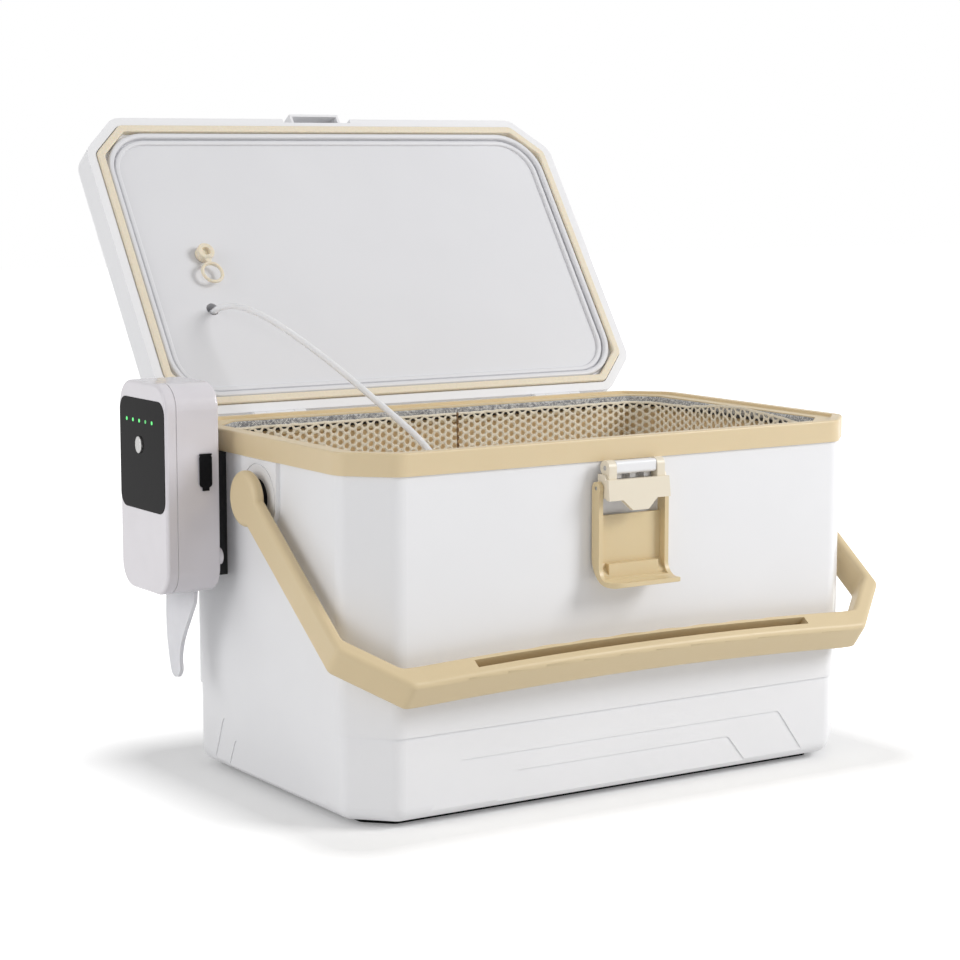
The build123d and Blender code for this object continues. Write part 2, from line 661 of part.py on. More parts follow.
def make_lid_liner():
    """Underside of the lid: a bead and a lower border round a recessed panel."""
    liner = slab(lid, LID_WALL + GAP, (LINER_SEAT, LINER_SEAT + PANEL_THICKNESS))
    liner += rounded_border(BEAD_INSET, BEAD_WIDTH, GASKET_LOW + BEAD_DROP, 1.5)
    border_inset = BEAD_INSET + BEAD_WIDTH + BEAD_GROOVE
    liner += rounded_border(border_inset, BORDER_WIDTH, LINER_SEAT - BORDER_HEIGHT, 1.2)
    x, y = HOSE_HOLE
    liner += rod_z(HOSE_HOLE_DIAMETER / 2 + 1.4, x, y, (LINER_SEAT, LID_TOP - LID_WALL - RUN))
    x, y = PLUG_PLACE
    liner += rod_z(PLUG_STEM_RADIUS + 1.3, x, y, (LINER_SEAT, LINER_SEAT + PLUG_STEM + 1.5))
    liner -= rod_z(PLUG_STEM_RADIUS + RUN, x, y, (LINER_SEAT - 1, LINER_SEAT + PLUG_STEM + 0.5))
    return opened(liner - latch_wall(GAP) - hose_bore())


def make_lid_gasket():
    """Soft seal that meets the collar's ledge."""
    seal = ring(lid, GASKET_INSET, GASKET_INSET + GASKET_WIDTH, (GASKET_LOW, LINER_SEAT - RUN))
    return opened(fillet(seal.faces().sort_by(Axis.Z)[0].edges(), 1.0))


def make_hole_plug():
    """Rubber plug parked in the lid's panel, with its strap and pull ring."""
    x, y = PLUG_PLACE
    low = LINER_SEAT - PLUG_HEIGHT
    plug = rod_z(PLUG_RADIUS, x, y, (low, LINER_SEAT - GAP))
    plug = fillet(plug.edges().filter_by(GeomType.CIRCLE), 0.8)
    plug += rod_z(PLUG_STEM_RADIUS, x, y, (LINER_SEAT - 1, LINER_SEAT + PLUG_STEM))
    middle = low + STRAP_THICKNESS / 2
    end = y + PLUG_RING_REACH
    flat = (low + 0.1, low + STRAP_THICKNESS)
    plug += box((x - STRAP_WIDTH / 2, x + STRAP_WIDTH / 2), (y + PLUG_CUP + 1, end - PLUG_RING_RADIUS), flat)
    plug += Pos(x, end, middle) * Torus(PLUG_RING_RADIUS, PLUG_RING_WIRE)
    return opened(plug - rod_z(PLUG_CUP, x, y, (low - 1, low + 3)))


# ---- Front latch ----
def latch_screw_places():
    """X of the two latch screws."""
    return [LATCH_X - LATCH_SCREW_HALF, LATCH_X + LATCH_SCREW_HALF]


def latch_screw_z():
    """Height of the latch screws, below the lever's pivot."""
    return BARREL_Z - LATCH_SCREW_DROP


def make_latch_base():
    """Plate on the tub's front with a barrel for the lever."""
    low = RIM_TOP - LATCH_PLATE_LOW
    back = FRONT + 1.0
    front = back - LATCH_PLATE
    wide = (LATCH_X - LATCH_PLATE_HALF, LATCH_X + LATCH_PLATE_HALF)
    base = box(wide, (front, back), (low, RIM_BOTTOM - 0.4))
    barrel = (LATCH_X - BARREL_HALF, LATCH_X + BARREL_HALF)
    side = BARREL_HEIGHT / 2
    block = box(barrel, (BARREL_Y - side, BARREL_Y + side), (BARREL_Z - side, BARREL_Z + side))
    base += fillet(block.edges().filter_by(Axis.X), BARREL_EDGE_ROUND)
    for offset in (-10, 0, 10):
        rib = (LATCH_X + offset - 2, LATCH_X + offset + 2)
        base += box(rib, (BARREL_Y, back), (BARREL_Z - LEVER_TOP, BARREL_Z + 1.4))
    base -= rod_x(LATCH_PIN_RADIUS + RUN, (barrel[0] - 1, barrel[1] + 1), BARREL_Y, BARREL_Z)
    for x in latch_screw_places():
        base -= rod_y(SCREW_RADIUS + RUN, x, (front - 1, back + 1), latch_screw_z())
    return base


def make_latch_screws():
    """Two screws that hold the latch plate."""
    seat = FRONT + 1.0 - LATCH_PLATE
    screws = []
    for x in latch_screw_places():
        screw = rod_y(SCREW_RADIUS, x, (seat, FRONT - SCREW_TIP), latch_screw_z())
        radius, height = LATCH_SCREW_HEAD
        screws.append(screw + rod_y(radius, x, (seat - height, seat), latch_screw_z()))
    return screws


def make_latch_pin():
    """Pin that the lever turns on."""
    reach = BARREL_HALF + GAP + EAR_WIDTH
    return rod_x(LATCH_PIN_RADIUS, (LATCH_X - reach, LATCH_X + reach), BARREL_Y, BARREL_Z)


def lever_plate():
    """Plate of the lever with its tab, standing out a little towards the tip."""
    (wide_tab, tab_high), (tab_tip, tab_low) = LEVER_TAB
    top = BARREL_Z - LEVER_TOP
    tip = BARREL_Z - LEVER_TIP
    low = tip + tab_low - tab_high
    face = polygon(
        (-LEVER_HALF, top), (LEVER_HALF, top), (LEVER_HALF, low), (wide_tab, low), (tab_tip, tip),
        (-tab_tip, tip), (-wide_tab, low), (-LEVER_HALF, low))
    back = BARREL_Y - 2.9
    front = back - LEVER_PLATE
    profile = polygon((back, top), (back - LEVER_LEAN, tip), (front - LEVER_LEAN, tip), (front, top))
    return across_y(face, (front - 5, back + 5), LATCH_X) & across_x(profile, (LATCH_X - 30, LATCH_X + 30))


def make_latch_lever():
    """Thumb lever: a plate under two ears on the pin, with cheeks for the hook's pin."""
    lever = lever_plate()
    plate_back = BARREL_Y - 2.9
    top = BARREL_Z - LEVER_TOP
    low = BARREL_Z - LEVER_TIP + 7
    ear_front = BARREL_Y - EAR_RADIUS
    for side in SIDES:
        inside = BARREL_HALF + GAP
        ear = sorted((LATCH_X + side * inside, LATCH_X + side * (inside + EAR_WIDTH)))
        cheek = sorted((LATCH_X + side * (LEVER_HALF - CHEEK), LATCH_X + side * LEVER_HALF))
        lever += rod_x(EAR_RADIUS, ear, BARREL_Y, BARREL_Z)
        lever += box(ear, (ear_front, BARREL_Y + 1.5), (HOOK_PIN_Z, BARREL_Z))
        sides = polygon(
            (plate_back - 0.5, top), (plate_back - LEVER_LEAN, low), (HOOK_PIN_Y + 2.6, low),
            (HOOK_PIN_Y + 2.6, BARREL_Z - 3.6), (plate_back + 1, BARREL_Z - 3.6))
        lever += across_x(sides, cheek)
    pins = (LATCH_X - 30, LATCH_X + 30)
    lever -= rod_x(LATCH_PIN_RADIUS + RUN, pins, BARREL_Y, BARREL_Z)
    return lever - rod_x(HOOK_PIN_RADIUS + RUN, pins, HOOK_PIN_Y, HOOK_PIN_Z)


def make_hook_pin():
    """Pin across the lever that carries the hook."""
    reach = HOOK_HALF - GAP
    return rod_x(HOOK_PIN_RADIUS, (LATCH_X - reach, LATCH_X + reach), HOOK_PIN_Y, HOOK_PIN_Z)


def quarter(centre, radius, start, end):
    """Quarter circle between two points, bulging down and away from the lid."""
    turn = radius * math.sqrt(0.5)
    return ThreePointArc(start, (centre[0] + turn, centre[1] - turn), end)


def make_latch_hook():
    """Frame that hangs on the lever's pin, with a catch that pulls the lid down and a curled foot."""
    back = FRONT - 0.1
    front = back - HOOK_DEPTH
    seat = HOOK_PIN_Z - HOOK_SEAT_DROP
    mouth = (front - HOOK_MOUTH_RADIUS, seat - 1.5)
    foot = mouth[1] - HOOK_MOUTH_RADIUS - HOOK_LIP
    tip = mouth[0] - HOOK_LIP_REACH
    turn = (back - HOOK_CORNER, foot + HOOK_CORNER)
    edges = quarter(turn, HOOK_CORNER, (back, turn[1]), (turn[0], foot)).edges()
    low = (mouth[0], foot + HOOK_LIP)
    edges += Polyline((turn[0], foot), (tip, foot + 0.6), (tip, low[1]), low).edges()
    edges += quarter(mouth, HOOK_MOUTH_RADIUS, low, (front, mouth[1])).edges()
    edges += Polyline((front, mouth[1]), (front, turn[1]), (back, turn[1])).edges()
    wide = (LATCH_X - HOOK_HALF, LATCH_X + HOOK_HALF)
    between = (wide[0] + HOOK_WALL, wide[1] - HOOK_WALL)
    hook = across_x(make_face(edges), wide)
    floor = foot + HOOK_FLOOR
    above = polygon((tip - 1, low[1]), (front, floor), (front, turn[1] + 1), (tip - 1, turn[1] + 1))
    hook -= across_x(above, between)
    hook -= box(between, (front - 1, back - HOOK_BACK), (seat, turn[1] + 1))
    for x in ((between[0], between[0] + CATCH_SIDE_GAP), (between[1] - CATCH_SIDE_GAP, between[1])):
        room = box(x, (front - 1, back - HOOK_BACK), (floor, seat + 1))
        hook -= room & rod_x(HOOK_CORNER - HOOK_BACK, x, *turn)
    hook += box(wide, (back - HOOK_BACK, back), (turn[1] - 1, HOOK_PIN_Z - HOOK_WINDOW_DROP))
    for side in SIDES:
        wall = sorted((LATCH_X + side * (HOOK_HALF - HOOK_WALL), LATCH_X + side * HOOK_HALF))
        hook += box(wall, (front, back), (turn[1] - 1, HOOK_PIN_Z))
        hook += rod_x(HOOK_HEAD_RADIUS, wall, HOOK_PIN_Y, HOOK_PIN_Z)
    round_x = wide[0] + HOOK_FOOT_ROUND
    round_y = tip + HOOK_FOOT_ROUND
    levels = (foot - 1, seat)
    hook -= box((wide[0] - 1, round_x), (tip - 1, round_y), levels) - rod_z(
        HOOK_FOOT_ROUND, round_x, round_y, (levels[0] - 1, levels[1] + 1))
    return hook - rod_x(HOOK_PIN_RADIUS + RUN, (wide[0] - 1, wide[1] + 1), HOOK_PIN_Y, HOOK_PIN_Z)


# ---- Handle ----
def handle_face():
    """The bail's outline, laid flat with its arms along -Y."""
    inside = HANDLE_INSIDE
    outside = inside + HANDLE_THICKNESS
    far = HANDLE_REACH + GRIP_DEPTH
    outer_sum = inside + HANDLE_REACH - HANDLE_CUT + CUT_SECTION * math.sqrt(2)
    outer = [(outside, 0), (outside, outside - outer_sum), (outer_sum - far, -far)]
    inner = [(inside, 0), (inside, HANDLE_CUT - HANDLE_REACH), (inside - HANDLE_CUT, -HANDLE_REACH)]
    left = [(-x, y) for x, y in reversed(outer)]
    points = outer + left + [(-x, y) for x, y in inner] + list(reversed(inner))
    face = polygon(*points)
    bends = [v for v in face.vertices() if v.Y < -1]
    return fillet(bends, HANDLE_BEND)


def handle_cuts():
    """Pocket in the grip and the finger scallops on its inner edge."""
    low = -HANDLE_REACH - SLOT_OFFSET - SLOT_WIDTH
    floor = SLOT_FLOOR + GRIP_ARCH - HANDLE_WIDTH / 2
    cuts = box((-SLOT_HALF, SLOT_HALF), (low, low + SLOT_WIDTH), (floor, HANDLE_WIDTH + GRIP_ARCH))
    radius = ((SCALLOP_PITCH / 2) ** 2 + SCALLOP_DEPTH**2) / (2 * SCALLOP_DEPTH)
    for count in range(SCALLOPS):
        x = (count - (SCALLOPS - 1) / 2) * SCALLOP_PITCH
        cuts += rod_z(radius, x, radius - HANDLE_REACH - SCALLOP_DEPTH, (-HANDLE_WIDTH, 2 * HANDLE_WIDTH))
    return cuts


def arched_slab():
    """Slab as thick as the bail, arched between the ends of the grip."""
    reach = HANDLE_INSIDE + HANDLE_THICKNESS + 5
    half = GRIP_ARCH_HALF
    edges = []
    for level in (-HANDLE_WIDTH / 2, HANDLE_WIDTH / 2):
        edges += Line((-reach, level), (-half, level)).edges()
        edges += ThreePointArc((-half, level), (0, level + GRIP_ARCH), (half, level)).edges()
        edges += Line((half, level), (reach, level)).edges()
    for side in SIDES:
        edges += Line((side * reach, -HANDLE_WIDTH / 2), (side * reach, HANDLE_WIDTH / 2)).edges()
    return across_y(make_face(edges), (-HANDLE_REACH - GRIP_DEPTH - 5, 5))


def is_long_edge(edge):
    """Whether an edge of the bail runs along its length."""
    middle = edge % 0.5
    at_arch = abs(abs(edge.center().X) - GRIP_ARCH_HALF) < 0.1
    return edge.center().Y < -1 and abs(middle.Z) < 0.5 and not (at_arch and abs(middle.Y) > 0.9)


def lowered(shape):
    """Turn a piece of the flat handle to its rest on the tub's front."""
    return Pos(0, 0, PIVOT_Z) * Rot(HANDLE_REST, 0, 0) * shape


def make_carry_handle():
    """Bail handle with round ends, 45 degree bends and a grip."""
    bail = extrude(handle_face(), HANDLE_WIDTH, both=True) & arched_slab()
    bail = fillet(bail.edges().filter_by(is_long_edge), HANDLE_ROUND)
    bail -= handle_cuts()
    ends = (HANDLE_INSIDE, HANDLE_INSIDE + HANDLE_THICKNESS)
    disc = rod_x(DISC_RADIUS, ends, 0, 0)
    disc = fillet(disc.edges().filter_by(GeomType.CIRCLE), HANDLE_ROUND)
    bail += on_both_ends(disc)
    bore = rod_x(STUD_RADIUS + RUN, (HANDLE_INSIDE - 1, HANDLE_INSIDE + STUD_ENGAGEMENT + GAP), 0, 0)
    return lowered(bail - on_both_ends(bore))


def make_pivot_studs():
    """Studs in the tub's pads that the handle turns on."""
    inside = RIM_LENGTH / 2 - SHELL_TOP_INSET - SHELL_WALL - SHELL_TAPER
    return mirrored(rod_x(STUD_RADIUS, (inside, HANDLE_INSIDE + STUD_ENGAGEMENT), 0, PIVOT_Z))


def make_pivot_washers():
    """Washers between the tub's pads and the handle."""
    wide = (PAD_FACE + RUN, HANDLE_INSIDE - 0.1)
    bore = rod_x(STUD_RADIUS + RUN, (wide[0] - 1, wide[1] + 1), 0, PIVOT_Z)
    return mirrored(rod_x(WASHER_RADIUS, wide, 0, PIVOT_Z) - bore)


# ---- Air pump ----
def pump_block(inset, x):
    """The pump case's outline as a solid between two levels in x."""
    face = RectangleRounded(PUMP_WIDTH - 2 * inset, PUMP_HEIGHT - 2 * inset, PUMP_CORNER - inset)
    return across_x(face, x, PUMP_Y, PUMP_Z)


def boss_places():
    """Y and Z of the case screws."""
    low = PUMP_LOW + BOSS_INSET
    high = PUMP_LOW + PUMP_HEIGHT - BOSS_INSET
    return [(PUMP_Y + side * (PUMP_WIDTH / 2 - BOSS_INSET), z) for side in SIDES for z in (low, high)]


def clip_pocket(grow):
    """Hollow in the back of the case that the clip turns in."""
    y = (PUMP_Y - POCKET_HALF - grow, PUMP_Y + POCKET_HALF + grow)
    return box((POCKET_FRONT - grow, PUMP_INSIDE + 1), y, (PUMP_LOW - 1, POCKET_TOP + grow))


def make_pump_rear_case():
    """Deep half of the pump case, with bosses, a clip pocket and openings for port and nozzle."""
    front = PUMP_SEAM + SEAM_GAP / 2
    case = pump_block(0, (front, PUMP_INSIDE))
    case = fillet(case.faces().sort_by(Axis.X)[-1].edges(), PUMP_EDGE_ROUND)
    hollow = pump_block(PUMP_WALL, (front - 1, PUMP_INSIDE - PUMP_WALL)) - clip_pocket(PUMP_WALL)
    case -= hollow
    for y, z in boss_places():
        case += rod_x(BOSS_RADIUS, (front, PUMP_INSIDE - 1), y, z)
    case -= clip_pocket(0)
    case += Pos(PUMP_INSIDE, PUMP_FRONT_Y + 6, NUB_Z) * Rot(0, 90, 0) * Cylinder(NUB_RADIUS, 2 * NUB_PROUD)
    for y, z in boss_places():
        case -= rod_x(SCREW_RADIUS + RUN, (front - 1, PUMP_INSIDE + 1), y, z)
        case -= rod_x(2.9, (PUMP_INSIDE - 2.2, PUMP_INSIDE + 1), y, z)
    port_x = (PORT_X - 2.8, PORT_X + 2.8)
    case -= box(port_x, (PUMP_FRONT_Y - 1, PUMP_FRONT_Y + PUMP_WALL + 1), (PORT_Z - 6, PORT_Z + 4.8))
    case -= rod_y(3 + RUN, NOZZLE_X, (PUMP_BACK_Y - 5, PUMP_BACK_Y + 5), NOZZLE_Z)
    clip_pins = (PUMP_Y - CLIP_HALF - 3.2, PUMP_Y + CLIP_HALF + 3.2)
    return case - rod_y(CLIP_PIN_RADIUS + RUN, CLIP_X, clip_pins, CLIP_Z)


def button_face(grow):
    """The button's oval outline."""
    return Ellipse(BUTTON_WIDTH / 2 + grow, BUTTON_HEIGHT / 2 + grow)


def led_places():
    """Y of the indicator lights."""
    return [LED_Y + (count - (LEDS - 1) / 2) * LED_PITCH for count in range(LEDS)]


def front_holes():
    """Openings for the button and the lights, through the cover and its panel."""
    reach = (PUMP_OUTSIDE - 3, PUMP_OUTSIDE + 5)
    holes = across_x(button_face(0.15), reach, BUTTON_Y, BUTTON_Z)
    for y in led_places():
        holes += rod_x(LED_RADIUS + RUN, reach, y, LED_Z)
    return holes


def face_block(grow, x):
    """The glossy panel's outline as a solid."""
    face = RectangleRounded(FACE_WIDTH + 2 * grow, FACE_HEIGHT + 2 * grow, FACE_CORNER)
    return across_x(face, x, PUMP_Y, FACE_Z)


def make_pump_front_cover():
    """Shallow half of the pump case."""
    back = PUMP_SEAM - SEAM_GAP / 2
    cover = pump_block(0, (PUMP_OUTSIDE, back))
    cover = fillet(cover.faces().sort_by(Axis.X)[0].edges(), PUMP_EDGE_ROUND)
    cover -= pump_block(PUMP_WALL, (PUMP_OUTSIDE + PUMP_WALL, back + 1))
    cover -= face_block(RUN, (PUMP_OUTSIDE - 1, PUMP_OUTSIDE + FACE_THICKNESS - FACE_PROUD))
    for y, z in boss_places():
        boss = rod_x(BOSS_RADIUS, (PUMP_OUTSIDE + PUMP_WALL - 0.5, back), y, z)
        cover += boss - rod_x(SCREW_RADIUS + RUN, (PUMP_OUTSIDE + PUMP_WALL + 0.5, back + 1), y, z)
    return cover - front_holes()


def make_pump_face_panel():
    """Glossy dark panel on the cover."""
    front = PUMP_OUTSIDE - FACE_PROUD
    return face_block(0, (front, front + FACE_THICKNESS)) - front_holes()


def make_led_lights():
    """Light pipes from the board to the panel."""
    reach = (PUMP_OUTSIDE - FACE_PROUD - 0.1, BOARD_LEVEL - BOARD_THICKNESS - RUN)
    return [rod_x(LED_RADIUS, reach, y, LED_Z) for y in led_places()]


def make_power_button():
    """Oval push button with a flange that keeps it behind the cover."""
    front = PUMP_OUTSIDE - BUTTON_PROUD
    flange = PUMP_OUTSIDE + PUMP_WALL + 0.1
    button = across_x(button_face(0), (front, flange + 1), BUTTON_Y, BUTTON_Z)
    button = fillet(button.faces().sort_by(Axis.X)[0].edges(), 0.6)
    return button + across_x(button_face(1), (flange, flange + 1.2), BUTTON_Y, BUTTON_Z)


def make_button_spring():
    """Spring behind the button, as the sleeve that it fills."""
    start = PUMP_OUTSIDE + PUMP_WALL + 0.1 + 1.2 + RUN
    end = BOARD_LEVEL - BOARD_THICKNESS - RUN
    sleeve = rod_x(2.4, (start, end), BUTTON_Y, BUTTON_Z)
    return sleeve - rod_x(1.6, (start - 1, end + 1), BUTTON_Y, BUTTON_Z)


def make_case_seal():
    """Seal in the seam between the two halves of the case."""
    wide = (PUMP_SEAM - SEAM_GAP / 2, PUMP_SEAM + SEAM_GAP / 2)
    long = (wide[0] - 1, wide[1] + 1)
    return pump_block(0.5, wide) - pump_block(PUMP_WALL - 0.3, long)


def make_case_screws():
    """Screws from the back of the case into the cover's bosses."""
    screws = []
    for y, z in boss_places():
        screw = rod_x(SCREW_RADIUS, (PUMP_OUTSIDE + PUMP_WALL + 1, PUMP_INSIDE - 2), y, z)
        screws.append(screw + rod_x(2.7, (PUMP_INSIDE - 2.15, PUMP_INSIDE - 0.5), y, z))
    return screws


def make_control_board():
    """Circuit board across the upper case, on the case's side walls."""
    half = PUMP_WIDTH / 2 - PUMP_WALL - 2 * GAP
    high = PUMP_LOW + PUMP_HEIGHT - BOSS_INSET - BOSS_RADIUS - 1
    return box(
        (BOARD_LEVEL - BOARD_THICKNESS, BOARD_LEVEL), (PUMP_Y - half, PUMP_Y + half),
        (PUMP_LOW + BOARD_LOW, high))


def make_battery_cells():
    """Two round cells side by side."""
    x = PUMP_INSIDE - PUMP_WALL - GAP - CELL_RADIUS
    z = (PUMP_LOW + CELL_LOW, PUMP_LOW + CELL_LOW + CELL_LENGTH)
    return [rod_z(CELL_RADIUS, x, PUMP_Y + side * (CELL_RADIUS + 0.2), z) for side in SIDES]


def motor_x():
    """Centre of the motor, between the cover and the clip pocket."""
    return PUMP_OUTSIDE + PUMP_WALL + GAP + MOTOR_DEPTH / 2


def make_air_motor():
    """Flat-sided motor low in the case."""
    x = motor_x()
    low = PUMP_LOW + PUMP_WALL + GAP
    can = rod_z(MOTOR_WIDTH / 2, x, PUMP_Y, (low, low + MOTOR_HEIGHT))
    half = MOTOR_DEPTH / 2
    can &= box((x - half, x + half), (PUMP_Y - 20, PUMP_Y + 20), (low, low + MOTOR_HEIGHT))
    return can + rod_z(1.0, x, PUMP_Y, (low, low + MOTOR_HEIGHT + 4))


def make_motor_crank():
    """Eccentric on the motor's shaft."""
    x = motor_x()
    low = PUMP_LOW + PUMP_WALL + GAP + MOTOR_HEIGHT + 0.6
    crank = rod_z(5, x, PUMP_Y, (low, low + 3)) - rod_z(1 + RUN, x, PUMP_Y, (low - 1, low + 3.5))
    return crank + rod_z(1.5, x, PUMP_Y + CRANK_OFFSET + 1.2, (low + 2.9, low + 5))


def head_low():
    """Underside of the pump head."""
    return PUMP_LOW + PUMP_WALL + GAP + MOTOR_HEIGHT + 9


def make_diaphragm():
    """Rubber diaphragm under the pump head."""
    low = head_low() - 2.4
    return rod_z(6.5, motor_x(), PUMP_Y, (low, head_low() - RUN))


def make_pump_head():
    """Valve block above the diaphragm."""
    half = MOTOR_DEPTH / 2
    x = motor_x()
    return box((x - half, x + half), (PUMP_Y - 14, PUMP_Y + 14), (head_low(), head_low() + 9))


def make_air_duct():
    """Moulded duct from the pump head up to the outlet."""
    y = PUMP_BACK_Y - 6
    z = head_low() + 4.5
    x = motor_x()
    duct = rod_z(2.2, NOZZLE_X, y, (z, NOZZLE_Z)) + rod_x(2.2, (x, NOZZLE_X), y, z)
    duct += rod_y(2.2, x, (PUMP_Y + 14, y), z) + rod_y(2.2, NOZZLE_X, (y, y + 1), NOZZLE_Z)
    for place in ((NOZZLE_X, y, z), (x, y, z), (NOZZLE_X, y, NOZZLE_Z)):
        duct += Pos(*place) * Sphere(2.2)
    return duct


def make_outlet_nozzle():
    """Outlet on the pump's back edge that the hose fits."""
    end = PUMP_BACK_Y + NOZZLE_LENGTH
    nozzle = rod_y(3, NOZZLE_X, (PUMP_BACK_Y - 3.7, end - 6), NOZZLE_Z)
    return nozzle + rod_y(2.4, NOZZLE_X, (end - 7, end), NOZZLE_Z)


def make_port_socket():
    """Charging socket behind the rubber cover."""
    y = (PUMP_FRONT_Y + 4, PUMP_FRONT_Y + 11)
    shell = box((PORT_X - 2, PORT_X + 2), y, (PORT_Z - 4.5, PORT_Z + 4.5))
    shell -= box((PORT_X - 1.5, PORT_X + 1.5), (y[0] - 1, y[1] - 1), (PORT_Z - 4, PORT_Z + 4))
    return shell + box((BOARD_LEVEL + RUN, PORT_X - 1.9), (y[1] - 4, y[1]), (PORT_Z - 4, PORT_Z + 4))


def port_hinge():
    """Y and Z of the port cover's hinge line."""
    return PUMP_FRONT_Y - 0.3 - PORT_COVER / 2, PORT_Z + PORT_HEIGHT / 2 - 1


def make_port_cover():
    """Rubber flap over the charging socket."""
    y, z = port_hinge()
    half = PORT_WIDTH / 2
    depth = (y - PORT_COVER / 2, y + PORT_COVER / 2)
    face = RectangleRounded(PORT_WIDTH, PORT_HEIGHT - 1, 2)
    flap = across_y(face, depth, PORT_X, PORT_Z - 0.5)
    flap += rod_x(PORT_COVER / 2, (PORT_X - half, PORT_X + half), y, z)
    flap += box((PORT_X - 2, PORT_X + 2), depth, (PORT_Z - 12, PORT_Z - 8))
    return flap + box((PORT_X - 2.2, PORT_X + 2.2), (y, PUMP_FRONT_Y + 2.2), (PORT_Z - 4, PORT_Z + 4))


def make_pump_clip():
    """Tapered tongue that turns on a pin in the back of the case."""
    edge = [(offset, -drop) for offset, drop in CLIP_OUTLINE]
    outline = Spline(*edge) + Polyline(edge[-1], (CLIP_HALF, 0), (-CLIP_HALF, 0), edge[0])
    tongue = across_x(make_face(outline), (-CLIP_THICKNESS / 2, CLIP_THICKNESS / 2))
    tongue += rod_y(CLIP_BARREL, 0, (-CLIP_HALF, CLIP_HALF), 0)
    tongue -= box((-5, 5), (-6, 6), (-5, 5))
    tongue -= rod_y(CLIP_PIN_RADIUS + RUN, 0, (-CLIP_HALF - 1, CLIP_HALF + 1), 0)
    return Pos(CLIP_X, PUMP_Y, CLIP_Z) * Rot(0, CLIP_LEAN, 0) * tongue


def make_clip_pin():
    """Pin that the clip turns on."""
    reach = CLIP_HALF + 3
    return rod_y(CLIP_PIN_RADIUS, CLIP_X, (PUMP_Y - reach, PUMP_Y + reach), CLIP_Z)


def make_clip_spring():
    """Torsion spring round the clip's pin, as the sleeve that it fills."""
    wide = (PUMP_Y - 5.5, PUMP_Y + 5.5)
    bore = rod_y(CLIP_PIN_RADIUS + 0.2, CLIP_X, (wide[0] - 1, wide[1] + 1), CLIP_Z)
    return rod_y(2.6, CLIP_X, wide, CLIP_Z) - bore


def bracket_screw_places():
    """Y and Z of the screws that hold the pump's bracket."""
    levels = (BRACKET_Z + 14, RIM_BOTTOM - 13)
    return [(PUMP_Y + side * BRACKET_SCREW_HALF, z) for side in SIDES for z in levels]


def bracket_seat():
    """X of the bracket's face on the tub."""
    return -RIM_LENGTH / 2 + SHELL_TOP_INSET - 0.1


def make_pump_bracket():
    """Tray on the tub's end that carries the pump, with an upstand behind it."""
    seat = bracket_seat()
    y = (PUMP_Y - BRACKET_HALF_WIDTH, PUMP_Y + BRACKET_HALF_WIDTH)
    z = (BRACKET_Z, RIM_BOTTOM - 0.5)
    end = PUMP_INSIDE + 0.3
    tray = box((end, seat), y, z)
    wall = BRACKET_WALL
    tray -= box((end - 1, seat - wall), (y[0] + wall, y[1] - wall), (z[0] + wall, z[1] - wall))
    upstand = (PUMP_Y - BRACKET_UPSTAND, PUMP_Y + BRACKET_UPSTAND)
    tray += box((end, end + wall), upstand, (z[1] - wall, BRACKET_TOP))
    for place_y, place_z in bracket_screw_places():
        tray -= rod_x(SCREW_RADIUS + RUN, (seat - wall - 1, seat + 1), place_y, place_z)
    return tray


def make_bracket_screws():
    """Screws through the bracket into the tub's wall."""
    seat = bracket_seat() - BRACKET_WALL
    screws = []
    for y, z in bracket_screw_places():
        screw = rod_x(SCREW_RADIUS, (seat, -RIM_LENGTH / 2 - SCREW_TIP), y, z)
        screws.append(screw + rod_x(SCREW_HEAD_RADIUS, (seat - SCREW_HEAD, seat), y, z))
    return screws


# ---- Air line ----
def bend_radii(points):
    """Radius at each corner of the route, as large as its two runs allow."""
    radii = []
    for before, corner, after in zip(points, points[1:], points[2:]):
        first = corner - before
        second = after - corner
        half_turn = math.radians(first.get_angle(second) / 2)
        radii.append(BEND_SHARE * min(first.length, second.length) / math.tan(half_turn))
    return radii


def make_air_hose():
    """Air hose from the pump, through the lid, down to the stone."""
    points = [Vector(*place) for place in HOSE_ROUTE]
    radii = bend_radii(points)
    print("hose radii", [round(radius, 1) for radius in radii])
    path = FilletPolyline(*points, radius=radii)
    start = Plane(origin=points[0], z_dir=points[1] - points[0])
    hose = sweep(start * Circle(HOSE_DIAMETER / 2), path=path)
    wanted = math.pi * HOSE_DIAMETER**2 / 4 * path.length
    print("hose length", round(path.length, 1), "volume", round(hose.volume), "wanted", round(wanted))
    return hose


def make_air_stone():
    """Porous stone on the end of the hose."""
    x, y, z = HOSE_ROUTE[-1]
    start = x + STONE_NIPPLE
    stone = rod_x(STONE_RADIUS, (start, start + STONE_LENGTH), y, z)
    stone = fillet(stone.edges().filter_by(GeomType.CIRCLE), 1.0)
    return stone + rod_x(1.6, (x, start + 1), y, z)


def make_base_pad():
    """Pad that the bucket stands on."""
    return slab(rim, PAD_INSET, (0, PAD_THICKNESS))


